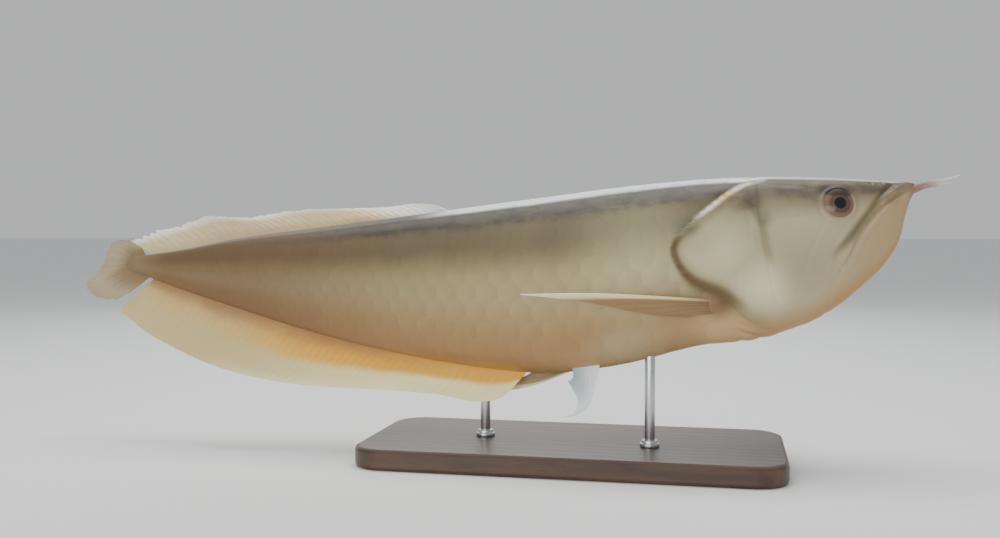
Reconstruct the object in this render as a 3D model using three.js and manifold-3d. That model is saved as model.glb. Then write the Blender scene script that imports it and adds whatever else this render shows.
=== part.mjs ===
// A life-size silver arowana, swimming, banked a little on a plain display stand.
// Millimetres, +Z up. The fish swims towards +X and its right side faces -Y.
// The origin is the middle of the stand base's underside.
//
// The body is one loft of superellipse sections, parted by thin cuts into head, lower jaw, gill
// covers, trunk and tail. The fins are thin sheets with their rays raised in their own surface.

import * as THREE from 'three';
import { mergeVertices } from 'three/addons/utils/BufferGeometryUtils.js';
import Module from 'manifold-3d';

const wasm = await Module();
wasm.setup();

// Driving sizes

const GAP = 0.3; // between pieces that touch
const CHIN_X = 322; // foremost point of the lower jaw
const STALK_X = -318; // end of the fleshy tail, where the tail fin's rays start
const BANK = THREE.MathUtils.degToRad(15); // the belly leans towards -Y
const FISH_X = -60; // puts the fish's weight over the middle of the base
const BASE = { length: 330, width: 150, height: 16, corner: 26, edge: 3 };
const SWIM_HEIGHT = 152; // of the body's axis over the floor
const ROD_RADIUS = 4;
const RODS = { front: { x: 122, y: -17 }, rear: { x: -12, y: 0 } }; // x along the fish
const COLOURS = {
  skin: 0xc9bda3,
  back: 0x9c9486,
  cover: 0xd3ccb4,
  fin: 0xe6dcc8,
  goldFin: 0xdcbb7a,
  eye: 0x5a3a26,
  barbel: 0xb59a8a,
  wood: 0x33241c,
  steel: 0xb8bcc0,
};

// Body sections along X. back and belly are heights over the axis, girth is the half width, waist is
// the height of the widest level as a share of the section, and crown and keel are the powers of the
// upper and the lower half of the section: 2 is round, more is boxy and less is pointed.
const SECTIONS = [
  { x: 322, back: 68, belly: 65.5, girth: 2.2, waist: 0.5, crown: 2, keel: 2 },
  { x: 316, back: 69, belly: 58, girth: 6.5, waist: 0.6, crown: 2.2, keel: 2 },
  { x: 311, back: 69.2, belly: 43, girth: 10, waist: 0.7, crown: 2.4, keel: 2 },
  { x: 307, back: 69.3, belly: 27, girth: 12, waist: 0.72, crown: 2.5, keel: 2 },
  { x: 299, back: 69.5, belly: 11, girth: 15.5, waist: 0.72, crown: 2.7, keel: 2 },
  { x: 281, back: 70, belly: -9, girth: 20.5, waist: 0.7, crown: 3.1, keel: 2 },
  { x: 259, back: 70.9, belly: -28, girth: 25.5, waist: 0.66, crown: 3.3, keel: 2 },
  { x: 232, back: 72, belly: -43, girth: 30, waist: 0.6, crown: 3.1, keel: 2 },
  { x: 200, back: 73, belly: -53, girth: 33.5, waist: 0.56, crown: 2.7, keel: 1.9 },
  { x: 160, back: 72.3, belly: -59, girth: 35, waist: 0.55, crown: 2.4, keel: 1.8 },
  { x: 100, back: 67.5, belly: -75.5, girth: 34, waist: 0.55, crown: 2.2, keel: 1.7 },
  { x: 40, back: 60.5, belly: -83.5, girth: 31.5, waist: 0.56, crown: 2.1, keel: 1.7 },
  { x: -45, back: 50.5, belly: -76.5, girth: 27, waist: 0.56, crown: 2.1, keel: 1.75 },
  { x: -150, back: 37, belly: -56.5, girth: 19.5, waist: 0.54, crown: 2, keel: 1.8 },
  { x: -230, back: 25, belly: -35, girth: 12, waist: 0.52, crown: 2, keel: 1.9 },
  { x: -280, back: 13.5, belly: -20.5, girth: 7.5, waist: 0.5, crown: 2, keel: 2 },
  { x: -318, back: 7, belly: -8, girth: 4, waist: 0.5, crown: 2, keel: 2 },
];

// The smooth curve through a list of stations, read at x. Stations run from the chin back.
function stationed(stations, x) {
  const last = stations.length - 1;
  let i = 0;
  while (i < last - 1 && stations[i + 1].x > x) i += 1;
  const at = (k) => stations[Math.min(Math.max(k, 0), last)];
  const [before, from, to, after] = [at(i - 1), at(i), at(i + 1), at(i + 2)];
  const share = THREE.MathUtils.clamp((from.x - x) / (from.x - to.x), 0, 1);
  const made = { x };
  for (const key of Object.keys(from).filter((name) => name !== 'x')) {
    const slope = (a, b) => (a === b ? 0 : (b[key] - a[key]) / (a.x - b.x));
    const span = from.x - to.x;
    const chord = slope(from, to);
    const leaving = before === from ? chord : (slope(before, from) + chord) / 2;
    const arriving = after === to ? chord : (slope(to, after) + chord) / 2;
    const s2 = share * share;
    const s3 = s2 * share;
    made[key] = (2 * s3 - 3 * s2 + 1) * from[key] + (s3 - 2 * s2 + share) * span * leaving
      + (3 * s2 - 2 * s3) * to[key] + (s3 - s2) * span * arriving;
  }
  return made;
}

// A point of the body's skin at x, at an angle round the section from its right side (-Y) upwards.
function skinPoint(x, angle, swell = 0) {
  const s = stationed(SECTIONS, x);
  const waist = s.belly + s.waist * (s.back - s.belly);
  const [across, along] = [Math.cos(angle), Math.sin(angle)];
  const power = 2 / (along > 0 ? s.crown : s.keel);
  const bow = (value) => Math.sign(value) * Math.abs(value) ** power;
  const reach = along > 0 ? s.back + swell - waist : waist - s.belly + swell;
  return new THREE.Vector3(x, -(s.girth + swell) * bow(across), waist + reach * bow(along));
}

// Half width of the body at x and height z.
function halfWidth(x, z) {
  const s = stationed(SECTIONS, x);
  const waist = s.belly + s.waist * (s.back - s.belly);
  const share = z > waist ? (z - waist) / (s.back - waist) : (waist - z) / (waist - s.belly);
  const power = z > waist ? s.crown : s.keel;
  return s.girth * Math.max(0, 1 - share ** power) ** (1 / power);
}

// Solids and geometries

function solidOf(geometry) {
  const bare = geometry.clone();
  for (const name of Object.keys(bare.attributes)) {
    if (name !== 'position') bare.deleteAttribute(name);
  }
  const merged = mergeVertices(bare, 1e-3);
  const mesh = new wasm.Mesh({
    numProp: 3,
    vertProperties: new Float32Array(merged.attributes.position.array),
    triVerts: new Uint32Array(merged.index.array),
  });
  return new wasm.Manifold(mesh);
}

// Slivers that a cut leaves, thinner than SLIVER, are merged into their neighbours.
const SLIVER = 0.03;

function geometryOf(solid) {
  const mesh = solid.simplify(SLIVER).getMesh();
  const position = new Float32Array(mesh.numVert * 3);
  for (let i = 0; i < mesh.numVert; i += 1) {
    const start = i * mesh.numProp;
    position.set(mesh.vertProperties.subarray(start, start + 3), i * 3);
  }
  const geometry = new THREE.BufferGeometry();
  geometry.setAttribute('position', new THREE.BufferAttribute(position, 3));
  geometry.setIndex(new THREE.BufferAttribute(new Uint32Array(mesh.triVerts), 1));
  geometry.computeVertexNormals();
  return geometry;
}

function largest(solid) {
  return solid.decompose().reduce((a, b) => (b.volume() > a.volume() ? b : a));
}

// A closed geometry from rings of equal length, with a point at the middle of each end.
function loftOf(rings) {
  const sides = rings[0].length;
  const points = rings.flat();
  const faces = [];
  for (let r = 0; r < rings.length - 1; r += 1) {
    for (let k = 0; k < sides; k += 1) {
      const [a, b] = [r * sides + k, r * sides + ((k + 1) % sides)];
      faces.push(a, b, b + sides, a, b + sides, a + sides);
    }
  }
  for (const [r, turned] of [[0, false], [rings.length - 1, true]]) {
    const middle = new THREE.Vector3();
    rings[r].forEach((p) => middle.addScaledVector(p, 1 / sides));
    points.push(middle);
    for (let k = 0; k < sides; k += 1) {
      const [a, b] = [r * sides + k, r * sides + ((k + 1) % sides)];
      faces.push(points.length - 1, ...(turned ? [a, b] : [b, a]));
    }
  }
  const geometry = new THREE.BufferGeometry().setFromPoints(points);
  geometry.setIndex(faces);
  return geometry;
}

// The extrusion of an outline in the XZ plane between two values of y.
function prism(outline, yLow, yHigh) {
  const shape = new THREE.Shape(outline.map(([x, z]) => new THREE.Vector2(x, z)));
  const geometry = new THREE.ExtrudeGeometry(shape, { depth: yHigh - yLow, bevelEnabled: false });
  geometry.rotateX(Math.PI / 2);
  geometry.translate(0, yHigh, 0);
  return solidOf(geometry);
}

function smoothLine(points, steps, closed = false) {
  const curve = new THREE.SplineCurve(points.map(([x, z]) => new THREE.Vector2(x, z)));
  if (!closed) return curve.getPoints(steps).map((p) => [p.x, p.y]);
  const ring = new THREE.CatmullRomCurve3(points.map(([x, z]) => new THREE.Vector3(x, 0, z)), true);
  return ring.getPoints(steps).slice(0, -1).map((p) => [p.x, p.z]);
}

// The outline of a strip that follows a line, as wide as widthAt says, its middle moved by shift.
function strip(line, widthAt, shift = 0) {
  const sides = [[], []];
  line.forEach(([x, z], i) => {
    const [ax, az] = line[Math.max(i - 1, 0)];
    const [bx, bz] = line[Math.min(i + 1, line.length - 1)];
    const length = Math.hypot(bx - ax, bz - az);
    const [nx, nz] = [-(bz - az) / length, (bx - ax) / length];
    const half = widthAt(i / (line.length - 1)) / 2;
    sides[0].push([x + nx * (shift + half), z + nz * (shift + half)]);
    sides[1].push([x + nx * (shift - half), z + nz * (shift - half)]);
  });
  return [...sides[0], ...sides[1].reverse()];
}

// The body

const BODY_SIDES = 28;
const HEAD_STATIONS = 21;
const TAIL_STATIONS = 30;
const HEAD_BACK_X = 130;

// Stations stand close together at the chin, where the jaw's outline is steep, and wider behind.
function bodyStations() {
  const stations = [];
  for (let i = 0; i < HEAD_STATIONS; i += 1) {
    stations.push(CHIN_X - (CHIN_X - HEAD_BACK_X) * (i / HEAD_STATIONS) ** 1.5);
  }
  for (let i = 0; i <= TAIL_STATIONS; i += 1) {
    stations.push(HEAD_BACK_X + (STALK_X - HEAD_BACK_X) * (i / TAIL_STATIONS));
  }
  return stations;
}

const STATIONS = bodyStations();

// The body grown by swellAt(x) millimetres. Its ends stay where they are unless they are grown too.
function bodySolid(swellAt = () => 0, sides = BODY_SIDES, grownEnds = 0) {
  const rings = STATIONS.map((x, i) => {
    const ring = [];
    const atEnd = (i === 0 ? grownEnds : 0) - (i === STATIONS.length - 1 ? grownEnds : 0);
    for (let k = 0; k < sides; k += 1) {
      const point = skinPoint(x, Math.PI / 2 + (2 * Math.PI * k) / sides, swellAt(x));
      point.x += atEnd;
      ring.push(point);
    }
    return ring;
  });
  return solidOf(loftOf(rings));
}

// Height of the faceted back (side 1) or belly (side -1) at x, as the flat facets leave it.
function ridgeHeight(x, side) {
  const i = Math.max(1, STATIONS.findIndex((station) => station <= x));
  const [fore, aft] = [STATIONS[i - 1], STATIONS[i]];
  const share = (fore - x) / (fore - aft);
  const edge = (station) => skinPoint(station, (side * Math.PI) / 2).z;
  return THREE.MathUtils.lerp(edge(fore), edge(aft), share);
}

const body = bodySolid();
const grownBody = bodySolid(() => GAP, BODY_SIDES, GAP);

// Lines on the head, as x and z on the body's side

const MOUTH = [[327, 74], [319, 67], [311, 60], [301, 53], [290, 43], [277, 25], [269, 8], [262, -3]];
const JAW_SEAM = [[262, -3], [257, -16], [252, -34], [249, -60]];
const MAXILLA_GROOVE = [[299, 64], [289, 54], [279, 43], [268, 27], [259, 8], [254, -5]];
const GILL_COVER = [
  [200, 66], [181, 56], [158, 35], [144, 21], [138, 9], [142, -4], [153, -16], [172, -24],
  [185, -33], [193, -41], [206, -45], [222, -43], [214, -22], [209, -1], [204, 22], [201, 44],
];
const HEAD_BACK = [[212, 95], [201, 70], [180, 48], [163, 30], [158, 8], [166, -12], [186, -30], [200, -50], [206, -75]];
const COVER_DEPTH = 3.2; // how deep a gill cover is let into the body
const COVER_RAISE = 1.7; // how far its free hind edge stands over the flank
const REACH = 60; // half length of every cutter, across the body

// An outline moved outwards from its middle, everywhere by the same length.
function grownOutline(outline, by) {
  const mean = (k) => outline.reduce((sum, place) => sum + place[k], 0) / outline.length;
  const [mx, mz] = [mean(0), mean(1)];
  return outline.map(([x, z]) => {
    const grown = 1 + by / Math.hypot(x - mx, z - mz);
    return [mx + (x - mx) * grown, mz + (z - mz) * grown];
  });
}

// Gill covers: plates that rise from the cheek towards their free hind edge.
const coverRaise = (x) => COVER_RAISE * (1 - THREE.MathUtils.smoothstep(x, 165, 212));
const coverLine = smoothLine(GILL_COVER, 34, true);
const coverRoom = grownOutline(coverLine, 1.4 * GAP);
const coverSkin = bodySolid(coverRaise);
const coverFloor = bodySolid(() => -COVER_DEPTH, BODY_SIDES / 2);
const roomFloor = bodySolid(() => -COVER_DEPTH - GAP, BODY_SIDES / 2);

function gillCover(side) {
  const [low, high] = side < 0 ? [-REACH, 0] : [0, REACH];
  return largest(coverSkin.intersect(prism(coverLine, low, high)).subtract(coverFloor));
}

const coverSockets = prism(coverRoom, -REACH, REACH).subtract(roomFloor);

// Mouth: a fine cleft from the chin to the corner below the eye, then the jaw's hind seam.
const mouthLine = smoothLine(MOUTH, 13);
const seamLine = smoothLine(JAW_SEAM, 5);
const cutThrough = (line) => prism(strip(line, () => GAP), -REACH, REACH);
const mouthCut = cutThrough(mouthLine);
const seamCut = cutThrough(seamLine);
const neckCut = cutThrough(smoothLine(HEAD_BACK, 16));

// A furrow in the skin along a line, widest at its middle.
function furrow(line, { width, depth }) {
  const outline = strip(line, (t) => width * (0.3 + 0.7 * Math.sin(Math.PI * t)));
  return prism(outline, -REACH, REACH).subtract(bodySolid(() => -depth));
}

const mouthFurrow = furrow(mouthLine, { width: 1.7, depth: 1.6 });
const maxillaFurrow = furrow(smoothLine(MAXILLA_GROOVE, 9), { width: 1.9, depth: 1.5 });

// A raised strip of skin, such as a lip, over an outline on the head.
function raisedSkin(outline, raiseAt, sink = 2) {
  return bodySolid(raiseAt).intersect(prism(outline, -REACH, REACH)).subtract(bodySolid(() => -sink));
}

// The lip and the maxilla rise between the mouth's corner and the snout, and sink at both.
const LIP = { raise: 0.9, width: 4.5 };
const MAXILLA = { raise: 1.3, width: 8 };
const { smoothstep } = THREE.MathUtils;
const alongMouth = (raise) => (x) => raise * smoothstep(x, 262, 273) * (1 - smoothstep(x, 298, 312));
const mouthEdge = mouthLine.slice(2);
const maxillae = raisedSkin(
  strip(mouthEdge, (t) => MAXILLA.width * (0.55 + 0.45 * t), -MAXILLA.width / 2 - 0.9),
  alongMouth(MAXILLA.raise),
);
const lips = raisedSkin(
  strip(mouthEdge.slice(1, -1), (t) => LIP.width * (1 - 0.5 * t), LIP.width / 2 + 1),
  alongMouth(LIP.raise),
);

// Eyes: flattened balls in the orbits, turned with the cheek and ringed by a low rim of skin.
const EYE = { x: 260, z: 47, radius: 13.3, half: 5.6, proud: 2.8, turn: 0.19 };
const ORBIT = { radius: 14.8, raise: 1 };
const eyeDepth = halfWidth(EYE.x, EYE.z) + EYE.proud - EYE.half; // of its middle, off the mid-plane

function eyeBall(side, grow = 0) {
  const ball = new THREE.SphereGeometry(1, 18, 10);
  ball.rotateX(Math.PI / 2);
  ball.scale(EYE.radius + grow, EYE.half + grow, EYE.radius + grow);
  ball.rotateZ(-side * EYE.turn);
  ball.translate(EYE.x, side * eyeDepth, EYE.z);
  return solidOf(ball);
}

const orbitCircle = new THREE.EllipseCurve(EYE.x, EYE.z, ORBIT.radius, ORBIT.radius).getPoints(18).slice(1);
const orbitRims = raisedSkin(orbitCircle.map((p) => [p.x, p.y]), () => ORBIT.raise);

// Nostrils: two small pits in a row on each side of the snout.
const NOSTRILS = [{ x: 285, z: 64.5, radius: 1.7 }, { x: 293.5, z: 65.5, radius: 1.3 }];

function nostril(side, { x, z, radius }) {
  const pit = new THREE.SphereGeometry(radius, 8, 6);
  pit.translate(x, side * halfWidth(x, z), z);
  return solidOf(pit);
}

function headSolids() {
  let cut = body.add(maxillae).add(lips).add(orbitRims);
  [mouthFurrow, mouthCut, seamCut, neckCut, coverSockets].forEach((cutter) => {
    cut = cut.subtract(cutter);
  });
  const pieces = cut.decompose().filter((piece) => piece.volume() > 1000);
  const front = (piece) => piece.boundingBox().max[0];
  const [jaw, skull, rest] = pieces.sort((a, b) => front(b) - front(a));
  let head = skull;
  for (const side of [-1, 1]) {
    NOSTRILS.forEach((place) => {
      head = head.subtract(nostril(side, place));
    });
    head = head.subtract(eyeBall(side, GAP));
  }
  return { jaw, head: largest(head.subtract(maxillaFurrow)), rest };
}

const { jaw, head, rest } = headSolids();

// The trunk ends over the vent, and the tail's flesh is in two lengths.
const VENT_X = 25;
const TAIL_SPLIT_X = -160;

function length(from, to) {
  const box = [[from, -REACH * 3], [to, -REACH * 3], [to, REACH * 3], [from, REACH * 3]];
  return largest(rest.intersect(prism(box, -REACH, REACH)));
}

const FLESH = {
  trunk: length(VENT_X + GAP / 2, CHIN_X),
  tail: length(TAIL_SPLIT_X + GAP / 2, VENT_X - GAP / 2),
  tail_stalk: length(STALK_X - 1, TAIL_SPLIT_X - GAP / 2),
};

// Fins. A fin is a sheet over columns, alternately a ray and the membrane between two rays, and
// rows from its root to its margin. root(u) and tip(u) are the ends of the ray at u, and bend(u, v)
// takes it off the straight line between them.

const RAY = { root: 1.1, margin: 0.34 }; // half thickness over a ray
const MEMBRANE = { root: 0.5, margin: 0.26 }; // half thickness between rays
const ACROSS = new THREE.Vector3(0, 1, 0);

function finGeometry({ rays, rows, root, tip, bend, normal = ACROSS, scale = 1, notch = 0.03 }) {
  const at = (u, v) => root(u).lerp(tip(u), v).add(bend(u, v));
  const middle = at(0.5, 0.5);
  const facing = at(0.6, 0.5).sub(middle).cross(at(0.5, 0.6).sub(middle)).dot(normal);
  const columns = 2 * rays - 1;
  const sheets = [[], []];
  for (let i = 0; i < columns; i += 1) {
    const onRay = i % 2 === 0;
    const thick = onRay ? RAY : MEMBRANE;
    for (let j = 0; j <= rows; j += 1) {
      const v = (j / rows) * (onRay ? 1 : 1 - notch);
      const half = Math.max(THREE.MathUtils.lerp(thick.root, thick.margin, v) * scale, MEMBRANE.margin);
      const place = at(i / (columns - 1), v);
      sheets[0].push(place.clone().addScaledVector(normal, half * Math.sign(facing)));
      sheets[1].push(place.clone().addScaledVector(normal, -half * Math.sign(facing)));
    }
  }
  const back = sheets[0].length;
  const vertex = (i, j) => i * (rows + 1) + j;
  const faces = [];
  for (let i = 0; i < columns - 1; i += 1) {
    for (let j = 0; j < rows; j += 1) {
      const [a, b, c, d] = [vertex(i, j), vertex(i + 1, j), vertex(i + 1, j + 1), vertex(i, j + 1)];
      const quad = i % 2 === 0 ? [[a, b, c], [a, c, d]] : [[a, b, d], [b, c, d]];
      quad.forEach(([p, q, r]) => faces.push(p, q, r, back + p, back + r, back + q));
    }
  }
  const border = [];
  for (let i = 0; i < columns - 1; i += 1) border.push([vertex(i, 0), vertex(i + 1, 0)]);
  for (let j = 0; j < rows; j += 1) border.push([vertex(columns - 1, j), vertex(columns - 1, j + 1)]);
  for (let i = columns - 1; i > 0; i -= 1) border.push([vertex(i, rows), vertex(i - 1, rows)]);
  for (let j = rows; j > 0; j -= 1) border.push([vertex(0, j), vertex(0, j - 1)]);
  border.forEach(([p, q]) => faces.push(q, p, back + p, q, back + p, back + q));
  const geometry = new THREE.BufferGeometry().setFromPoints([...sheets[0], ...sheets[1]]);
  geometry.setIndex(faces);
  return geometry;
}

// A smooth function of x through a few [x, value] pairs, which run from the front back.
const through = (pairs) => {
  const stations = pairs.map(([x, value]) => ({ x, value }));
  return (x) => stationed(stations, x).value;
};

// Dorsal and anal fins stand on the ridge of the back or belly. root and tip are the x of the ends
// of the first and the last ray, trail is how much further back the middle rays lean, margin is the
// height of the fin's edge, ripple waves it sideways and bow arches its rays.
const DORSAL = {
  rays: 44,
  rows: 3,
  side: 1,
  root: [-42, -303],
  tip: [-58, -323],
  trail: 14,
  margin: through([
    [-58, 54.5], [-76, 57.5], [-104, 55], [-151, 52], [-195, 50.5], [-230, 43.5], [-262, 43.5],
    [-290, 35], [-308, 30], [-325, 20.5],
  ]),
  ripple: { size: 3.2, length: 92, start: 0.6 },
  bow: 2.4,
};
const ANAL = {
  rays: 52,
  rows: 4,
  side: -1,
  root: [24, -300],
  tip: [11, -327],
  trail: 17,
  margin: through([
    [11, -98], [-3, -104.5], [-53, -101.8], [-95, -100.4], [-138, -99.5], [-193, -95.5], [-239, -85.6],
    [-282, -69.6], [-305, -57.6], [-327, -41],
  ]),
  ripple: { size: 3.6, length: 120, start: 2.1 },
  bow: 2.4,
};

function longFin({ rays, rows, side, root, tip, trail, margin, ripple, bow }) {
  const rootOf = (u) => {
    const x = THREE.MathUtils.lerp(root[0], root[1], u);
    return new THREE.Vector3(x, 0, ridgeHeight(x, side) + side * GAP);
  };
  const tipOf = (u) => {
    const x = THREE.MathUtils.lerp(tip[0], tip[1], u) - trail * Math.sin(Math.PI * u);
    return new THREE.Vector3(x, 0, margin(x));
  };
  const bend = (u, v) => {
    const x = THREE.MathUtils.lerp(root[0], root[1], u);
    const wave = Math.sin((2 * Math.PI * x) / ripple.length + ripple.start) * ripple.size;
    const arch = bow * Math.sin(Math.PI * v) * Math.sin(Math.PI * u);
    return new THREE.Vector3(arch * 0.6, wave * v ** 1.6, side * arch);
  };
  return finGeometry({ rays, rows, root: rootOf, tip: tipOf, bend });
}

// The other fins are set by a smooth line through their ray roots, sunk in the body, and another
// through their ray tips. bow is how far the first ray bends, and fade how much less the last does.
const point = ([x, y, z]) => new THREE.Vector3(x, y, z);

function fanFin({ rays, rows, roots, tips, bow, fade, normal, scale, notch, flip = 1 }) {
  const mirrored = ([x, y, z]) => point([x, y * flip, z]);
  const rootLine = new THREE.CatmullRomCurve3(roots.map(mirrored));
  const tipLine = new THREE.CatmullRomCurve3(tips.map(mirrored));
  return finGeometry({
    rays,
    rows,
    root: (u) => rootLine.getPoint(u),
    tip: (u) => tipLine.getPoint(u),
    bend: (u, v) => mirrored(bow).multiplyScalar(Math.sin(Math.PI * v ** 1.3) * (1 - fade * u)),
    normal: mirrored(normal).normalize(),
    scale,
    notch,
  });
}

const CAUDAL = {
  rays: 15,
  rows: 5,
  roots: [[-309, 0, 5], [-315, 0, 3.5], [-316.5, 0, -0.5], [-315, 0, -5], [-303, 0, -9.5]],
  tips: [
    [-326, -3, 20], [-339, -3, 19.5], [-346, -1, 14], [-351, 2, 2], [-356, 3, -9], [-364, 1, -17],
    [-358, -2, -26], [-347, -3, -32], [-331, -2, -32],
  ],
  bow: [0, 3, 3],
  fade: 1.6,
  normal: [0, 1, 0],
  scale: 0.9,
  notch: 0.05,
};
const PECTORAL = {
  rays: 7,
  rows: 9,
  roots: [[177, -26, -31.9], [174, -26, -36.4], [170, -25, -40.9]],
  tips: [[30, -66, -34], [76, -50, -37.5], [104, -40, -42.5], [126, -31.5, -46], [146, -26.5, -46]],
  bow: [0, -7, 0.6],
  fade: 0.6,
  normal: [-0.2, 0.7, 0.69],
  scale: 1,
  notch: 0.02,
};
const PELVIC_DOWN = {
  rays: 6,
  rows: 7,
  roots: [[85, -3.5, -73], [77, -3.5, -74], [67, -3.5, -75]],
  tips: [[54, -11, -119.5], [62, -11, -113.5], [64, -10, -103], [59, -8, -91]],
  bow: [9.5, -1, -9],
  fade: 0.7,
  normal: [0, 1, 0],
  scale: 0.85,
  notch: 0.02,
};
const PELVIC_BACK = {
  rays: 4,
  rows: 9,
  roots: [[80, 4.5, -73], [72, 4.5, -74], [63, 4.5, -75]],
  tips: [[-14, 9, -98], [12, 9, -90], [30, 8.5, -81]],
  bow: [0, 1, -3],
  fade: 0.5,
  normal: [0, 1, 0],
  scale: 0.7,
  notch: 0.02,
};

const rooted = (geometry) => largest(solidOf(geometry).subtract(grownBody));

// Barbels: a pair of tapered feelers from the tip of the chin.
const BARBEL = {
  path: [[317, 2.4, 64.5], [327, 5, 68], [338, 9, 69.6], [348, 13, 72.2]],
  thick: 1.9,
  tip: 0.45,
  lift: 1.2, // of the left tip, and the droop of the right one
  steps: 12,
  sides: 8,
};

function barbel(side) {
  const path = new THREE.CatmullRomCurve3(BARBEL.path.map(([x, y, z], i) => {
    const lift = side * BARBEL.lift * (i / (BARBEL.path.length - 1));
    return new THREE.Vector3(x, side * y, z + lift);
  }));
  const { steps, sides } = BARBEL;
  const rings = [];
  for (let i = 0; i <= steps; i += 1) {
    const share = i / steps;
    const centre = path.getPoint(share);
    const ahead = path.getTangent(share);
    const right = new THREE.Vector3().crossVectors(ahead, new THREE.Vector3(0, 0, 1)).normalize();
    const up = new THREE.Vector3().crossVectors(right, ahead);
    const radius = THREE.MathUtils.lerp(BARBEL.thick, BARBEL.tip, share ** 0.8);
    const ring = [];
    for (let k = 0; k < sides; k += 1) {
      const turn = (-2 * Math.PI * k) / sides;
      ring.push(centre.clone().addScaledVector(right, radius * Math.cos(turn))
        .addScaledVector(up, radius * Math.sin(turn)));
    }
    rings.push(ring);
  }
  return rooted(loftOf(rings));
}

// The stand: a flat base with a bevelled edge, and two rods cut to the body's underside.
function roundedRectangle(lengthX, widthY, corner) {
  const [hx, hy] = [lengthX / 2, widthY / 2];
  const shape = new THREE.Shape();
  shape.moveTo(-hx + corner, -hy);
  shape.lineTo(hx - corner, -hy);
  shape.absarc(hx - corner, -hy + corner, corner, -Math.PI / 2, 0);
  shape.absarc(hx - corner, hy - corner, corner, 0, Math.PI / 2);
  shape.absarc(-hx + corner, hy - corner, corner, Math.PI / 2, Math.PI);
  shape.absarc(-hx + corner, -hy + corner, corner, Math.PI, Math.PI * 1.5);
  return shape;
}

function standBase() {
  const { length: long, width, height, corner, edge } = BASE;
  const shape = roundedRectangle(long - 2 * edge, width - 2 * edge, corner - edge);
  const geometry = new THREE.ExtrudeGeometry(shape, {
    depth: height - 2 * edge,
    curveSegments: 6,
    bevelThickness: edge,
    bevelSize: edge,
    bevelSegments: 2,
  });
  geometry.translate(0, 0, edge);
  return geometry;
}

// Swimming pose: behind the pectoral fins the body waves gently aside, by a shift across it only.
const SWIM = { from: 100, length: 470, size: 13 };

function sweep(x) {
  const share = THREE.MathUtils.clamp((SWIM.from - x) / SWIM.length, 0, 1);
  return SWIM.size * share * Math.sin(1.5 * Math.PI * share);
}

function swept(geometry) {
  const place = geometry.getAttribute('position');
  for (let i = 0; i < place.count; i += 1) {
    place.setY(i, place.getY(i) + sweep(place.getX(i)));
  }
  return geometry;
}

// Assembly

const material = (color, roughness, metalness = 0) => new THREE.MeshStandardMaterial({
  color, roughness, metalness, side: THREE.DoubleSide,
});
const FINISH = {
  skin: material(COLOURS.skin, 0.38),
  back: material(COLOURS.back, 0.4),
  cover: material(COLOURS.cover, 0.32),
  fin: material(COLOURS.fin, 0.5),
  goldFin: material(COLOURS.goldFin, 0.5),
  eye: material(COLOURS.eye, 0.12),
  barbel: material(COLOURS.barbel, 0.5),
  wood: material(COLOURS.wood, 0.45),
  steel: material(COLOURS.steel, 0.3, 1),
};

function named(name, geometry, finish) {
  const mesh = new THREE.Mesh(geometry, finish);
  mesh.name = name;
  return mesh;
}

const fish = new THREE.Group();
fish.position.set(FISH_X, 0, SWIM_HEIGHT);
fish.rotation.x = -BANK;

const FISH_PARTS = [
  ['head', geometryOf(head), FINISH.skin],
  ['lower_jaw', geometryOf(jaw), FINISH.skin],
  ['gill_cover_right', geometryOf(gillCover(-1)), FINISH.cover],
  ['gill_cover_left', geometryOf(gillCover(1)), FINISH.cover],
  ['trunk', geometryOf(FLESH.trunk), FINISH.skin],
  ['tail', geometryOf(FLESH.tail), FINISH.skin],
  ['tail_stalk', geometryOf(FLESH.tail_stalk), FINISH.back],
  ['eye_right', geometryOf(eyeBall(-1)), FINISH.eye],
  ['eye_left', geometryOf(eyeBall(1)), FINISH.eye],
  ['barbel_right', geometryOf(barbel(-1)), FINISH.barbel],
  ['barbel_left', geometryOf(barbel(1)), FINISH.barbel],
  ['dorsal_fin', longFin(DORSAL), FINISH.fin],
  ['anal_fin', longFin(ANAL), FINISH.goldFin],
  ['caudal_fin', geometryOf(rooted(fanFin(CAUDAL))), FINISH.fin],
  ['pectoral_fin_right', geometryOf(rooted(fanFin(PECTORAL))), FINISH.fin],
  ['pectoral_fin_left', geometryOf(rooted(fanFin({ ...PECTORAL, flip: -1 }))), FINISH.fin],
  ['pelvic_fin_right', geometryOf(rooted(fanFin(PELVIC_DOWN))), FINISH.fin],
  ['pelvic_fin_left', geometryOf(rooted(fanFin(PELVIC_BACK))), FINISH.fin],
];
FISH_PARTS.forEach(([name, geometry, finish]) => fish.add(named(name, swept(geometry), finish)));

// A rod from the base up to the underside of the banked fish, clear of it by the gap.
fish.updateMatrixWorld(true);
const fishRoom = solidOf(swept(geometryOf(grownBody)).applyMatrix4(fish.matrixWorld));

function rod({ x, y }) {
  const top = SWIM_HEIGHT;
  const bottom = BASE.height + GAP;
  const cylinder = new THREE.CylinderGeometry(ROD_RADIUS, ROD_RADIUS, top - bottom, 20);
  cylinder.rotateX(Math.PI / 2);
  cylinder.translate(FISH_X + x, y, (top + bottom) / 2);
  const pieces = solidOf(cylinder).subtract(fishRoom).decompose();
  const lowest = pieces.sort((a, b) => a.boundingBox().min[2] - b.boundingBox().min[2])[0];
  return geometryOf(lowest);
}

const arowana = new THREE.Group();
arowana.add(fish);
arowana.add(named('stand_base', standBase(), FINISH.wood));
arowana.add(named('stand_rod_front', rod(RODS.front), FINISH.steel));
arowana.add(named('stand_rod_rear', rod(RODS.rear), FINISH.steel));

export default arowana;
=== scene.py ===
"""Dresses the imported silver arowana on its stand: skin, scales, fins, eyes, barbels, stand and stage.

The fish is shaped in its own axes, in millimetres: x towards the head, z up and y across, with its
right side at -y. fish_to_frame then waves the tail, banks the fish and sets it over the base.
"""

import math

import bpy
import numpy as np
from mathutils import Matrix, Vector


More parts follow.
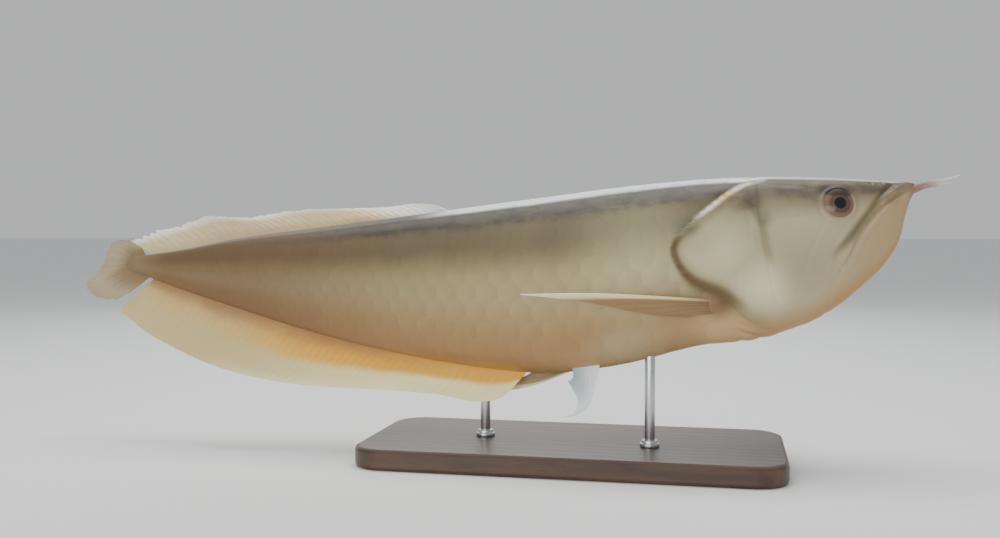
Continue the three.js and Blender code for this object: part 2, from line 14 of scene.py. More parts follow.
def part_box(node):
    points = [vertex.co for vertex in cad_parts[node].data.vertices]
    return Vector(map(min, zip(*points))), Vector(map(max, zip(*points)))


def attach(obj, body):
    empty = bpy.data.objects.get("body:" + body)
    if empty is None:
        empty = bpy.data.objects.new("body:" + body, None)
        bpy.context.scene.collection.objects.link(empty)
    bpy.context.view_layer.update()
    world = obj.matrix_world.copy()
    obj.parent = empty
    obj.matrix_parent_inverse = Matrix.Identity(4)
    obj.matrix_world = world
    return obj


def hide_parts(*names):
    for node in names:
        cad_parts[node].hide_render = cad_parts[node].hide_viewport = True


bl_info = {
    "name": "Silver arowana model",
    "version": (1, 0, 0),
    "blender": (4, 5, 0),
    "location": "View3D > Sidebar > Arowana",
    "description": "Builds the dressed silver arowana around its packed solids",
    "category": "Object",
}

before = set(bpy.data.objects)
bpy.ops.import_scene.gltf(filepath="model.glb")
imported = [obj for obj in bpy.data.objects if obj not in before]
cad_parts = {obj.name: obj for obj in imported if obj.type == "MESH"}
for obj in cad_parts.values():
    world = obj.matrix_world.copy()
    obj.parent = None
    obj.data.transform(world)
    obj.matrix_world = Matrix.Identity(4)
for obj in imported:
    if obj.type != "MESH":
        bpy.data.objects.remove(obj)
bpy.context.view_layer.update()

# The fish's place in the frame, as the solids have it

MM = 0.001
BANK = math.radians(15)
FISH_X = -60.0
SWIM_HEIGHT = 152.0
SWEEP = {"start": 100.0, "length": 470.0, "size": 13.0}
CHIN_X = 322.0
STALK_X = -318.0
FLESH = ("head", "lower_jaw", "gill_cover_right", "gill_cover_left", "trunk", "tail", "tail_stalk")
SIDES = {"right": -1, "left": 1}

# Body sections along x: back, belly, half width, level of the widest place as a share of the
# height, and the powers of the section's upper and lower half
SECTIONS = np.array([
    (322, 68, 65.5, 2.2, 0.5, 2, 2),
    (316, 69, 58, 6.5, 0.6, 2.2, 2),
    (311, 69.2, 43, 10, 0.7, 2.4, 2),
    (307, 69.3, 27, 12, 0.72, 2.5, 2),
    (299, 69.5, 11, 15.5, 0.72, 2.7, 2),
    (281, 70, -9, 20.5, 0.7, 3.1, 2),
    (259, 70.9, -28, 25.5, 0.66, 3.3, 2),
    (232, 72, -43, 30, 0.6, 3.1, 2),
    (200, 73, -53, 33.5, 0.56, 2.7, 1.9),
    (160, 72.3, -59, 35, 0.55, 2.4, 1.8),
    (100, 67.5, -75.5, 34, 0.55, 2.2, 1.7),
    (40, 60.5, -83.5, 31.5, 0.56, 2.1, 1.7),
    (-45, 50.5, -76.5, 27, 0.56, 2.1, 1.75),
    (-150, 37, -56.5, 19.5, 0.54, 2, 1.8),
    (-230, 25, -35, 12, 0.52, 2, 1.9),
    (-280, 13.5, -20.5, 7.5, 0.5, 2, 2),
    (-318, 7, -8, 4, 0.5, 2, 2),
])
BACK, BELLY, GIRTH, WAIST, CROWN, KEEL = range(6)

# Lines on the head, as x and z
MOUTH = [(324, 71), (319, 67), (311, 60), (301, 53), (290, 43), (277, 25), (269, 8), (262, -3)]
JAW_SEAM = [(262, -3), (257, -16), (252, -34), (249, -60)]
MAXILLA = [(300, 64), (296, 59.4), (287, 47), (276, 31.5), (267, 18), (259, 8), (254, -5)]
GILL_COVER = [
    (200, 66), (181, 56), (158, 35), (144, 21), (138, 9), (142, -4), (153, -16), (172, -24),
    (185, -33), (193, -41), (206, -45), (222, -43), (214, -22), (209, -1), (204, 22), (201, 44),
]
HEAD_BACK = [(206, 80), (200, 68), (180, 50), (163, 32), (156, 8), (160, -12), (170, -28),
             (172, -44), (168, -75)]
# The pale streak over the gill cover, where a highlight is painted along its upper edge
COVER_EDGE_HIGHLIGHT = [(206, 67), (192, 61.5), (179, 52), (168, 42), (155, 31)]
CHEEK_LINE = [(197, 43), (201, 35), (205, 27), (208, 11), (212, -4)]
CHEEK_SEAMS = [
    [(251, 33), (240, 8), (232, -18), (228, -34)],
    [(246, 38), (228, 34), (208, 30)],
    [(266, 31), (256, 12), (250, -8)],
    [(247, 56), (230, 60), (210, 61)],
]
THROAT_FOLDS = [
    [(168, -32), (192, -45), (222, -47), (246, -34)],
    [(166, -38), (190, -50), (220, -51), (240, -42)],
    [(166, -45), (188, -54), (214, -55)],
]
EYE = {"x": 260.4, "z": 46.0, "radius": 12.8, "half": 5.6, "proud": 2.8, "turn": 0.19}
# The raised ring round the eye, and the socket inside it
ORBIT = {"radius": 12.3, "raise": 1.2, "width": 1.5, "depth": 3, "floor": 7.0, "wall": 9.8}
# x, z and radius
NOSTRILS = [(285, 64.5, 1.7), (293.5, 65.5, 1.3)]
# The fleshy base of the pectoral fin: x, z, length, height and rise
FIN_MOUND = (173, -31, 9, 6.5, 2.4)
COVER_RAISE = 1.7
SKIN_INSET = 0.55
SCALES_FROM = 214
# Where the growth lines of the gill cover spread from, as x and z in metres
FAN_CENTRE = (0.214, 0.034)

# Grey-brown smudges of the head and nape: x, z, radius and strength
SMUDGES = (
    (232, 61, 14, 0.60), (214, 62, 13, 0.75), (197, 45, 11, 0.75), (186, 44, 10, 0.50), (206, 33, 10, 0.40),
    (152, 26, 12, 0.50), (176, 64, 16, 0.50), (152, 52, 16, 0.45), (286, 59, 7, 0.30), (299, 55, 10, 0.35),
    (246, 48, 9, 0.40), (121, 51, 15, 0.45), (82, 48, 13, 0.45),
)


def tint(red, green, blue):
    """Linear colour of three screen values from 0 to 255."""
    return tuple(((value / 255 + 0.055) / 1.055) ** 2.4 for value in (red, green, blue))


def colour_prop(name, description, *screen):
    return bpy.props.FloatVectorProperty(
        name=name, description=description, default=tint(*screen), subtype="COLOR", size=3, min=0, max=1,
    )


class SkinSettings(bpy.types.PropertyGroup):
    """Colours and relief of the skin and its scales."""

    flank: colour_prop("Flank", "Pale silvery cream of the flank", 148, 137, 98)
    upper: colour_prop("Upper flank", "Greenish beige above the flank", 104, 95, 74)
    back: colour_prop("Back", "Grey-brown band along the back", 61, 59, 53)
    # Painted highlight along the top of the back
    ridge_highlight: colour_prop("Ridge", "Pale line along the top of the back", 232, 236, 238)
    belly: colour_prop("Belly", "Tan of the lower flank and throat", 162, 125, 84)
    tail: colour_prop("Tail", "Brown of the tail", 102, 77, 54)
    gold: colour_prop("Gold", "Orange-yellow along the anal fin", 226, 168, 60)
    cover: colour_prop("Gill cover", "Greenish cream of the gill cover", 176, 170, 136)
    smudge: colour_prop("Smudge", "Grey-brown smudges of the head", 80, 74, 66)
    relief: bpy.props.FloatProperty(
        name="Relief", description="Share of the full depth of folds and seams", default=1.0,
        min=0, max=2, subtype="FACTOR",
    )


class ScaleSettings(bpy.types.PropertyGroup):
    """Size and lie of the scales."""

    rows: bpy.props.IntProperty(
        name="Rows", description="Rows of scales on each side", default=11, min=6, max=20,
    )
    stretch: bpy.props.FloatProperty(
        name="Stretch", description="Length of a scale's field by its height", default=1.22, min=0.8, max=2,
    )
    lift: bpy.props.FloatProperty(
        name="Lift", description="How far a scale's hind edge stands up", default=0.26 * MM,
        min=0, max=2 * MM, unit="LENGTH",
    )


class FinSettings(bpy.types.PropertyGroup):
    """Colours of the fins."""

    membrane: colour_prop("Membrane", "Cream skin between the rays", 240, 218, 164)
    ray: colour_prop("Ray", "Paler rays", 246, 230, 190)
    root: colour_prop("Root", "Tan at the root of the dorsal fin", 160, 140, 106)
    # Painted shade of the pectoral fins' undersides
    pectoral_shade: colour_prop("Dusk", "Brown shade of the pectoral fins", 126, 94, 66)
    blue: colour_prop("Blue", "Bluish white of the pelvic fins", 232, 242, 248)


class EyeSettings(bpy.types.PropertyGroup):
    """Colours of the eyes and barbels."""

    pupil: colour_prop("Pupil", "Dark navy pupil", 12, 12, 22)
    iris: colour_prop("Iris", "Red-brown iris", 72, 55, 44)
    rim: colour_prop("Rim", "Tan outer part of the iris", 124, 101, 78)
    barbel: colour_prop("Barbel", "Pinkish grey of the barbels", 136, 104, 94)
    barbel_tip: colour_prop("Barbel tip", "Pale tips of the barbels", 218, 214, 208)


class StandSettings(bpy.types.PropertyGroup):
    """Finish of the display stand."""

    wood: colour_prop("Wood", "Dark stained wood", 58, 42, 34)
    grain: colour_prop("Grain", "Lighter grain of the wood", 92, 66, 50)
    steel: colour_prop("Steel", "Brushed steel of the rods", 200, 202, 205)


class StageSettings(bpy.types.PropertyGroup):
    """Floor, light and camera."""

    floor: colour_prop("Floor", "Pale floor", 232, 233, 234)
    light: bpy.props.FloatProperty(
        name="Light", description="Power of the overhead light", default=13.0, min=0, unit="POWER",
    )
    azimuth: bpy.props.FloatProperty(
        name="Azimuth", description="Camera's turn to the fish's head", default=math.radians(12),
        subtype="ANGLE",
    )
    elevation: bpy.props.FloatProperty(
        name="Elevation", description="Camera's height angle", default=math.radians(2), subtype="ANGLE",
    )
    distance: bpy.props.FloatProperty(
        name="Distance", description="Camera's distance from its target", default=0.85, unit="LENGTH",
    )


# Curves and the body's shape


def smoothstep(value, low, high):
    share = np.clip((np.asarray(value, float) - low) / (high - low), 0, 1)
    return share * share * (3 - 2 * share)


def spline(points, steps, closed=False):
    """Points of the smooth curve through a list of points."""
    points = np.array(points, float)
    spans = len(points) if closed else len(points) - 1
    if closed:
        before, after = points[-1:], points[:2]
    else:
        before, after = 2 * points[:1] - points[1:2], 2 * points[-1:] - points[-2:-1]
    held = np.concatenate([before, points, after])
    place = np.linspace(0, spans, steps + 1)
    i = np.minimum(place.astype(int), spans - 1)
    t = (place - i)[:, None]
    a, b, c, d = (held[i + k] for k in range(4))
    made = 0.5 * (2 * b + (c - a) * t + (2 * a - 5 * b + 4 * c - d) * t**2 + (3 * b - a - 3 * c + d) * t**3)
    return made[:-1] if closed else made


def along(points, share):
    """The points at shares 0 to 1 of the smooth curve through a list of points."""
    fine = spline(points, 240)
    place = np.linspace(0, 1, len(fine))
    return np.stack([np.interp(share, place, fine[:, k]) for k in range(3)], axis=-1)


def through(stations, x):
    """Smooth curves through rows of x, value, value..., which run from the front back, read at x."""
    table = np.array(stations, float)
    x = np.asarray(x, float)
    last = len(table) - 1
    i = np.clip(np.searchsorted(-table[:, 0], -x, side="left") - 1, 0, last - 1)
    chord = (table[1:, 1:] - table[:-1, 1:]) / (table[:-1, :1] - table[1:, :1])
    slope = np.concatenate([chord[:1], (chord[1:] + chord[:-1]) / 2, chord[-1:]])
    span = (table[i, 0] - table[i + 1, 0])[..., None]
    s = np.clip((table[i, 0] - x)[..., None] / span, 0, 1)
    start, end = table[i, 1:], table[i + 1, 1:]
    return (
        (2 * s**3 - 3 * s**2 + 1) * start + (s**3 - 2 * s**2 + s) * span * slope[i]
        + (3 * s**2 - 2 * s**3) * end + (s**3 - s**2) * span * slope[i + 1]
    )


def body_point(x, angle, beyond=0.0):
    """Points at x on the body's skin or beyond it, at an angle round it from the right side upwards."""
    s = np.moveaxis(through(SECTIONS, x), -1, 0)
    waist = s[BELLY] + s[WAIST] * (s[BACK] - s[BELLY])
    upper = np.sin(angle) > 0
    power = 2 / np.where(upper, s[CROWN], s[KEEL])
    reach = np.where(upper, s[BACK] - waist, waist - s[BELLY]) + beyond
    across, up = (np.sign(value) * np.abs(value) ** power for value in (np.cos(angle), np.sin(angle)))
    return np.stack([x + 0 * across, -(s[GIRTH] + beyond) * across, waist + reach * up], axis=-1)


def close_angles(start, quarters, steps=160):
    """Angles over a number of quarter turns, closest together where the outline runs fastest."""
    t = np.linspace(0, quarters, quarters * steps + 1)
    part = t % 1
    return start + math.pi / 2 * (t - np.sin(2 * math.pi * part) / (2 * math.pi))


def outline_lengths(x, turn):
    """Length along the body's outline at each x, up to each angle."""
    outline = body_point(x[:, None], turn[None, :])
    step = np.linalg.norm(np.diff(outline, axis=1), axis=-1)
    return np.concatenate([np.zeros((len(x), 1)), np.cumsum(step, axis=1)], axis=1)


def outline_shares(x, turn):
    length = outline_lengths(x, turn)
    return length / length[:, -1:]


def half_width(x, z):
    s = through(SECTIONS, np.array([x]))[0]
    waist = s[BELLY] + s[WAIST] * (s[BACK] - s[BELLY])
    upper = z > waist
    share = (z - waist) / (s[BACK] - waist) if upper else (waist - z) / (waist - s[BELLY])
    power = s[CROWN] if upper else s[KEEL]
    return s[GIRTH] * max(0.0, 1 - share**power) ** (1 / power)


def ridge_height(x, side):
    s = through(SECTIONS, x)
    return s[..., BACK] if side > 0 else s[..., BELLY]


def level_of(points):
    """Height of points on the body as a share, 0 at the belly and 1 at the back."""
    s = through(SECTIONS, points[..., 0])
    return (points[..., 2] - s[..., BELLY]) / np.maximum(s[..., BACK] - s[..., BELLY], 1)


def fish_to_frame(points):
    """Points of the fish, in millimetres, as places in the frame, in metres."""
    share = np.clip((SWEEP["start"] - points[..., 0]) / SWEEP["length"], 0, 1)
    y = points[..., 1] + SWEEP["size"] * share * np.sin(1.5 * math.pi * share)
    z = points[..., 2]
    cos, sin = math.cos(BANK), math.sin(BANK)
    placed = np.stack([points[..., 0] + FISH_X, y * cos + z * sin, z * cos - y * sin + SWIM_HEIGHT], axis=-1)
    return placed * MM


def line_distance(points, line, closed=False):
    """Distance of x, z points to a line, and on which side they are (1 is left of its run)."""
    line = np.array(line, float)
    ends = np.roll(line, -1, axis=0) if closed else line[1:]
    starts = line if closed else line[:-1]
    best = np.full(len(points), 1e9)
    side = np.ones(len(points))
    for start, end in zip(starts, ends):
        run = end - start
        offset = points - start
        share = np.clip(offset @ run / (run @ run), 0, 1)
        away = offset - share[:, None] * run
        distance = np.hypot(away[:, 0], away[:, 1])
        nearer = distance < best - 1e-9
        turn = np.sign(run[0] * offset[:, 1] - run[1] * offset[:, 0])
        best = np.where(nearer, distance, best)
        side = np.where(nearer, turn, side)
    return best, side


COVER_LINE = spline(GILL_COVER, 60, closed=True)


def cover_depth(points):
    """How far x, z points lie inside the gill cover's outline, negative outside it."""
    distance, _ = line_distance(points, COVER_LINE, closed=True)
    inside = np.zeros(len(points), bool)
    for (ax, az), (bx, bz) in zip(COVER_LINE, np.roll(COVER_LINE, -1, axis=0)):
        crosses = (az > points[:, 1]) != (bz > points[:, 1])
        with np.errstate(divide="ignore", invalid="ignore"):
            at = ax + (points[:, 1] - az) / (bz - az) * (bx - ax)
        inside ^= crosses & (points[:, 0] < at)
    return np.where(inside, distance, -distance)


def neck_x(z):
    """x of the line behind the head where the scales start, at height z."""
    line = spline(HEAD_BACK, 40)
    order = np.argsort(line[:, 1])
    return np.interp(z, line[order, 1], line[order, 0])


def swell(distance, width, height):
    """A soft rise where the distance is 0, or a ditch where its height is negative."""
    return height * np.exp(-((distance / width) ** 2))


def gap_to(points, line, steps=20):
    """Distance of x, z points to the smooth curve through a line."""
    return line_distance(points, spline(line, steps))[0]


def head_relief(points):
    """Height of the folds, lips, plates and pits of the head over its plain form, in millimetres."""
    x, z = points[:, 0], points[:, 1]
    depth = cover_depth(points)
    hind = 1 - smoothstep(x, 165, 212)
    made = COVER_RAISE * hind * smoothstep(depth, -0.3, 1.3)
    made += swell(depth + 1.4, 1.1, -1.1) * hind
    made += swell(depth, 1.5, -0.35) * (1 - hind) * (1 - smoothstep(z, 30, 44))
    made += swell(depth - 3.2, 1.6, 0.5) * hind
    made += 0.9 * smoothstep(depth, 2, 22)

    mouth, side = line_distance(points, spline(MOUTH, 40))
    over = mouth * side
    span = smoothstep(x, 258, 270) * (1 - smoothstep(x, 300, 318))
    made += swell(mouth, 1.2, -0.7) * smoothstep(x, 258, 268)
    for height, rise, outer in ((1.4, -over, (4.5, 8)), (0.9, over, (3.5, 7))):
        made += height * span * smoothstep(rise, 0.4, 2.4) * (1 - smoothstep(rise, *outer))
    shallow = smoothstep(x, 250, 262) * (0.4 + 0.6 * smoothstep(z, 0, 22))
    made += swell(gap_to(points, MAXILLA, 40), 2.4, -1.4) * shallow
    made += swell(gap_to(points, JAW_SEAM), 1.4, -0.3)
    for line in CHEEK_SEAMS:
        made += swell(gap_to(points, line), 1.6, -0.22)
    for line in THROAT_FOLDS:
        fold = gap_to(points, line)
        made += swell(fold, 0.9, -0.5) + swell(fold - 2.4, 1.2, 0.3)

    at_x, at_z, long, high, raised = FIN_MOUND
    made += raised * np.exp(-((x - at_x) / long) ** 2 - ((z - at_z) / high) ** 2)
    eye = np.hypot(x - EYE["x"], z - EYE["z"])
    made += swell(eye - ORBIT["radius"], ORBIT["width"], ORBIT["raise"])
    made -= ORBIT["depth"] * (1 - smoothstep(eye, ORBIT["floor"], ORBIT["wall"]))
    for at_x, at_z, radius in NOSTRILS:
        pit = np.hypot(x - at_x, z - at_z)
        made += swell(pit, radius, -0.5) + swell(pit - radius - 0.6, 0.6, 0.2)
    return made


# Making meshes


def deselect():
    bpy.ops.object.select_all(action="DESELECT")


def only(piece):
    deselect()
    piece.select_set(True)
    bpy.context.view_layer.objects.active = piece


def vertices(piece):
    places = np.zeros(len(piece.data.vertices) * 3, np.float32)
    piece.data.vertices.foreach_get("co", places)
    return places.reshape(-1, 3).astype(float)


def set_vertices(piece, places):
    piece.data.vertices.foreach_set("co", np.asarray(places, np.float32).ravel())
    piece.data.update()


def grid(name, columns, rows):
    """A grid primitive of columns by rows of faces, and the shares 0 to 1 of its vertices."""
    deselect()
    bpy.ops.mesh.primitive_grid_add(x_subdivisions=columns, y_subdivisions=rows, size=1)
    piece = bpy.context.object
    piece.name = piece.data.name = name
    flat = vertices(piece)
    return piece, np.clip(flat[:, 0] + 0.5, 0, 1), np.clip(flat[:, 1] + 0.5, 0, 1)


def note(piece, name, values):
    """Keeps one number or one vector per vertex for the finishes."""
    values = np.asarray(values, np.float32)
    kind, key = ("FLOAT_VECTOR", "vector") if values.ndim == 2 else ("FLOAT", "value")
    piece.data.attributes.new(name, kind, "POINT").data.foreach_set(key, values.ravel())


def unwrap(piece, name, u, v):
    """Writes a UV map from one place per vertex."""
    layer = piece.data.uv_layers.get(name) or piece.data.uv_layers.new(name=name)
    corner = np.zeros(len(piece.data.loops), np.int32)
    piece.data.loops.foreach_get("vertex_index", corner)
    layer.data.foreach_set("uv", np.stack([u[corner], v[corner]], axis=-1).astype(np.float32).ravel())


def apply_modifiers(piece):
    only(piece)
    for modifier in list(piece.modifiers):
        bpy.ops.object.modifier_apply(modifier=modifier.name)


def tidy_shell(piece, weld=True):
    """Welds what meets, and turns all faces outwards."""
    only(piece)
    bpy.ops.object.mode_set(mode="EDIT")
    bpy.ops.mesh.select_all(action="SELECT")
    if weld:
        bpy.ops.mesh.remove_doubles(threshold=2e-6)
    bpy.ops.mesh.normals_make_consistent(inside=False)
    bpy.ops.object.mode_set(mode="OBJECT")


def finish_piece(piece, finish, replaced=(), smooth=60):
    """Smooths and paints a finished piece, attaches it to the root and hides the solids it replaces."""
    only(piece)
    bpy.ops.object.shade_smooth_by_angle(angle=math.radians(smooth))
    piece.data.materials.clear()
    piece.data.materials.append(finish)
    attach(piece, "root")
    if replaced:
        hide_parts(*replaced)


TUBE_END = 0.06


def tube(name, path, radii, sides, rings):
    """A round tapered tube along a smooth path, with closed ends, in the fish's own axes."""
    piece, u, v = grid(name, rings, sides)
    centre = along(path, np.clip((u - TUBE_END / 2) / (1 - TUBE_END), 0, 1))
    even = np.linspace(0, 1, 200)
    heading = np.gradient(along(path, even), axis=0)
    ahead = np.stack([np.interp(u, even, heading[:, k]) for k in range(3)], axis=-1)
    ahead /= np.linalg.norm(ahead, axis=1, keepdims=True)
    right = np.cross(ahead, (0, 0, 1))
    right /= np.linalg.norm(right, axis=1, keepdims=True)
    up = np.cross(right, ahead)
    closing = np.maximum(0, (np.abs(2 * u - 1) - (1 - TUBE_END)) / TUBE_END)
    radius = np.interp(u, np.linspace(0, 1, len(radii)), radii) * np.sqrt(np.clip(1 - closing**2, 0, 1))
    turn = 2 * math.pi * v
    places = centre + radius[:, None] * (right * np.cos(turn)[:, None] + up * np.sin(turn)[:, None])
    set_vertices(piece, fish_to_frame(places))
    note(piece, "along", u)
    tidy_shell(piece)
    return piece


# Finishes


class Value:
    """A socket that takes part in Python sums, which add its Math nodes."""

    def __init__(self, finish, socket):
        self.finish = finish
        self.socket = socket

    def math(self, operation, *others):
        return self.finish.node("ShaderNodeMath", {"operation": operation}, dict(enumerate((self, *others))))

    def __add__(self, other):
        return self.math("ADD", other)

    def __mul__(self, other):
        return self.math("MULTIPLY", other)

    def __sub__(self, other):
        return self.math("SUBTRACT", other)

    def __rsub__(self, other):
        return self.finish.node("ShaderNodeMath", {"operation": "SUBTRACT"}, {0: other, 1: self})

    def __truediv__(self, other):
        return self.math("DIVIDE", other)

    def __pow__(self, other):
        return self.math("POWER", other)

    __radd__ = __add__
    __rmul__ = __mul__

    def most(self, other):
        return self.math("MAXIMUM", other)


class Finish:
    """The node tree of one material."""

    def __init__(self, name, **sockets):
        self.material = bpy.data.materials.new(name)
        self.material.use_nodes = True
        self.tree = self.material.node_tree
        self.shader = self.tree.nodes["Principled BSDF"]
        for socket, value in sockets.items():
            self.set(self.shader.inputs[socket.replace("_", " ")], value)

    def set(self, socket, value):
        if isinstance(value, Value):
            self.tree.links.new(value.socket, socket)
        elif socket.type == "RGBA" and len(value) == 3:
            socket.default_value = (*value, 1)
        else:
            socket.default_value = value

    def node(self, kind, settings=None, inputs=None, output=0):
        made = self.tree.nodes.new(kind)
        for name, value in (settings or {}).items():
            setattr(made, name, value)
        for name, value in (inputs or {}).items():
            self.set(made.inputs[name], value)
        return Value(self, made.outputs[output])

    def noted(self, name, output="Fac"):
        return self.node("ShaderNodeAttribute", {"attribute_name": name}, output=output)

    def place(self):
        return self.node("ShaderNodeTexCoord", output="Object")

    def parts(self, vector):
        split = self.node("ShaderNodeSeparateXYZ", inputs={0: vector}).socket.node
        return [Value(self, split.outputs[k]) for k in range(3)]

    def smooth(self, value, low, high):
        return self.node(
            "ShaderNodeMapRange", {"interpolation_type": "SMOOTHSTEP"},
            {"Value": value, "From Min": low, "From Max": high},
        )

    def fade(self, value, low, high):
        return 1 - self.smooth(value, low, high)

    def combine(self, x, y, z=0):
        return self.node("ShaderNodeCombineXYZ", inputs={0: x, 1: y, 2: z})

    def stretched(self, vector, scale):
        return self.node("ShaderNodeMapping", inputs={"Vector": vector, "Scale": scale})

    def noise(self, vector, scale, detail=3.0, roughness=0.55):
        return self.node(
            "ShaderNodeTexNoise",
            inputs={"Vector": vector, "Scale": scale, "Detail": detail, "Roughness": roughness},
        )

    def cells(self, vector, scale):
        return self.node("ShaderNodeTexVoronoi", inputs={"Vector": vector, "Scale": scale})

    def blob(self, vector, centre, radius, soft=0.5):
        """1 inside a ball round a place, fading to 0 at its radius."""
        away = self.node(
            "ShaderNodeVectorMath", {"operation": "DISTANCE"}, {0: vector, 1: centre}, output="Value",
        )
        return self.fade(away, radius * (1 - soft), radius)

    def mix(self, share, first, second, blend="MIX"):
        return self.node(
            "ShaderNodeMix", {"data_type": "RGBA", "blend_type": blend},
            {0: share, 6: first, 7: second}, output=2,
        )

    def bump(self, height, distance, strength):
        return self.node(
            "ShaderNodeBump", inputs={"Height": height, "Distance": distance, "Strength": strength},
        )

    def done(self, **sockets):
        for name, value in sockets.items():
            self.set(self.shader.inputs[name.replace("_", " ")], value)
        return self.material


class Layers:
    """A colour that further colours are laid over, each by its own share."""

    def __init__(self, finish, colour):
        self.finish = finish
        self.colour = colour

    def lay(self, share, colour, blend="MIX"):
        self.colour = self.finish.mix(share, self.colour, colour, blend)


def markings_and_painted_light(f, skin):
    """The fish's colours with painted highlights and shade, the same on the skin and on the scales over it.
    """
    place = f.noted("place", "Vector")
    x, _, z = f.parts(place)
    level = f.noted("level")
    cover = f.noted("cover")
    flat = f.combine(x, 0, z)

    def spot(at_x, at_z, radius, soft=0.9):
        return f.blob(flat, (at_x * MM, 0, at_z * MM), radius * MM, soft)

    soft = f.noise(place, 26, 3)
    blotch = f.noise(f.stretched(place, (1, 1, 1.7)), 75, 4, 0.62)
    wavy = level + (soft - 0.5) * 0.12
    mottle = f.smooth(blotch, 0.32, 0.66)

    # The body, from belly to back
    coat = Layers(f, f.mix(f.smooth(wavy, 0.04, 0.46), skin.belly, skin.flank))
    coat.lay(f.smooth(wavy, 0.48, 0.70), skin.upper)
    coat.lay(f.fade(x + (soft - 0.5) * 0.04, -0.24, -0.01) * 0.75, skin.tail)
    coat.lay(f.fade(x, -0.320, -0.286), tint(128, 110, 82))
    for at_x, at_z, share in ((116, -2, 0.6), (30, -10, 0.1)):
        coat.lay(spot(at_x, at_z, 75, 0.95) * share, tint(186, 178, 140))
    band = f.smooth(level + (blotch - 0.5) * 0.07, 0.775, 0.865)
    band = band * (0.15 + 0.85 * f.smooth(x, -0.230, -0.080))
    coat.lay(band * (0.72 + 0.28 * mottle), skin.back)
    fin_base = f.smooth(x, -0.262, -0.19) * f.fade(x, 0.01, 0.034) * f.smooth(x, -0.12, 0.0) * 0.5
    coat.lay(f.fade(level + (soft - 0.5) * 0.04, -0.02, 0.060) * fin_base, skin.gold)
    rim = f.fade(level, 0.0, 0.18) * f.smooth(x, 0.020, 0.080)
    coat.lay(rim * 0.4, tint(198, 174, 136))
    coat.lay(spot(102, -61, 38) * f.fade(level, 0.10, 0.22) * 0.4, tint(176, 170, 140))

    # The bony plates of the head
    head = f.smooth(x, 0.190, 0.215).most(f.smooth(cover, -0.0004, 0.0006))
    inner = f.smooth(cover, 0.003, 0.013).most(f.smooth(x, 0.184, 0.198))
    plate = Layers(f, f.mix(inner * f.smooth(z, -0.045, -0.01), skin.flank, skin.cover))
    plate.lay(f.smooth(x, 0.200, 0.216), tint(178, 168, 138))
    plate.lay(spot(206, -18, 30, 0.95).most(spot(182, 8, 28, 0.95) * 0.45), tint(214, 212, 178))
    plate.lay(spot(236, 0, 34) * 0.5, tint(160, 146, 122))
    plate.lay(spot(236, 30, 26, 0.95) * 0.4, tint(184, 176, 142))
    plate.lay(f.smooth(wavy, 0.62, 0.82) * 0.85, tint(112, 100, 78))
    coat.lay(head, plate.colour)

    # Jaw, throat, painted shade in the pit behind the pectoral fin's root, and the chin
    jaw = f.smooth(x - z * 0.45, 0.250, 0.284) * f.fade(z, 0.050, 0.068)
    coat.lay(jaw * 0.75, tint(176, 148, 106))
    coat.lay(f.fade(level + (soft - 0.5) * 0.05, 0.0, 0.17) * head * 0.8, tint(172, 126, 76))
    coat.lay(spot(176, -52, 34) * f.fade(cover, -0.001, 0.0) * 0.8, tint(198, 166, 122))
    # Painted shade at the root of the pectoral fin
    coat.lay(spot(173, -31, 16, 0.85) * 0.75, tint(114, 86, 60))
    coat.lay(f.blob(place, (0.318, 0, 0.062), 0.015, 0.8) * 0.85, tint(134, 98, 84))

    coat.lay(band * head * (0.5 + 0.5 * mottle) * 0.8, skin.smudge)
    for at_x, at_z, radius, share in SMUDGES:
        coat.lay(spot(at_x, at_z, radius) * share * (0.4 + 0.8 * mottle), skin.smudge)
    # Dark cheek line, and painted shade along the groove behind the upper jaw and in the mouth's cleft
    for line, near, far, held, share, dark in (
        ("cheek", 0.0, 0.0055, f.smooth(z, -0.008, 0.008), 0.45, tint(96, 86, 66)),
        ("groove", 0.0004, 0.0052, f.smooth(z, -0.002, 0.024), 0.8, tint(86, 77, 54)),
        ("mouth", 0.0001, 0.0024, f.smooth(x, 0.262, 0.290), 0.35, tint(122, 94, 74)),
    ):
        coat.lay(f.fade(f.noted(line), near, far) * held * share, dark)

    # The brown edge of the gill cover with painted shadow behind it, the tan ring round the eye with painted
    # shade, a painted shadow behind the cover's upper edge, and the pale streak over the cover, a painted
    # highlight
    # Brown membrane along the gill cover's rear and lower edge, widened over the body behind it as painted
    # shadow
    low = f.fade(z, -0.036, -0.002)
    rear = f.smooth(z, -0.042, -0.026) * f.fade(z, 0.012, 0.029) * f.fade(x, 0.190, 0.206)
    off_edge = (cover - (0.0022 - 0.0018 * low)).math("ABSOLUTE") / (0.0040 + 0.0045 * low)
    coat.lay(f.fade(off_edge, 0.15, 1.25) * rear * (0.94 - 0.20 * low), tint(94, 74, 50))
    # Tan round the eye, laid also as painted shade that dulls the highlight on the raised ring
    coat.lay(spot(EYE["x"], EYE["z"], 19, 0.45) * 0.35, tint(146, 122, 102))
    # Painted shadow behind the upper edge of the gill cover
    coat.lay(spot(146, 24.5, 13) * 0.5, tint(108, 112, 98))
    # Pale streak over the gill cover: a painted highlight along its upper edge
    streak = f.fade(f.noted("streak"), 0.0002, 0.0040) * f.smooth(z, 0.029, 0.040)
    streak = streak * (1 - 0.8 * f.smooth(z, 0.059, 0.067))
    coat.lay(streak * 0.9, f.mix(spot(178, 51, 13), tint(226, 222, 208), tint(230, 180, 120)))

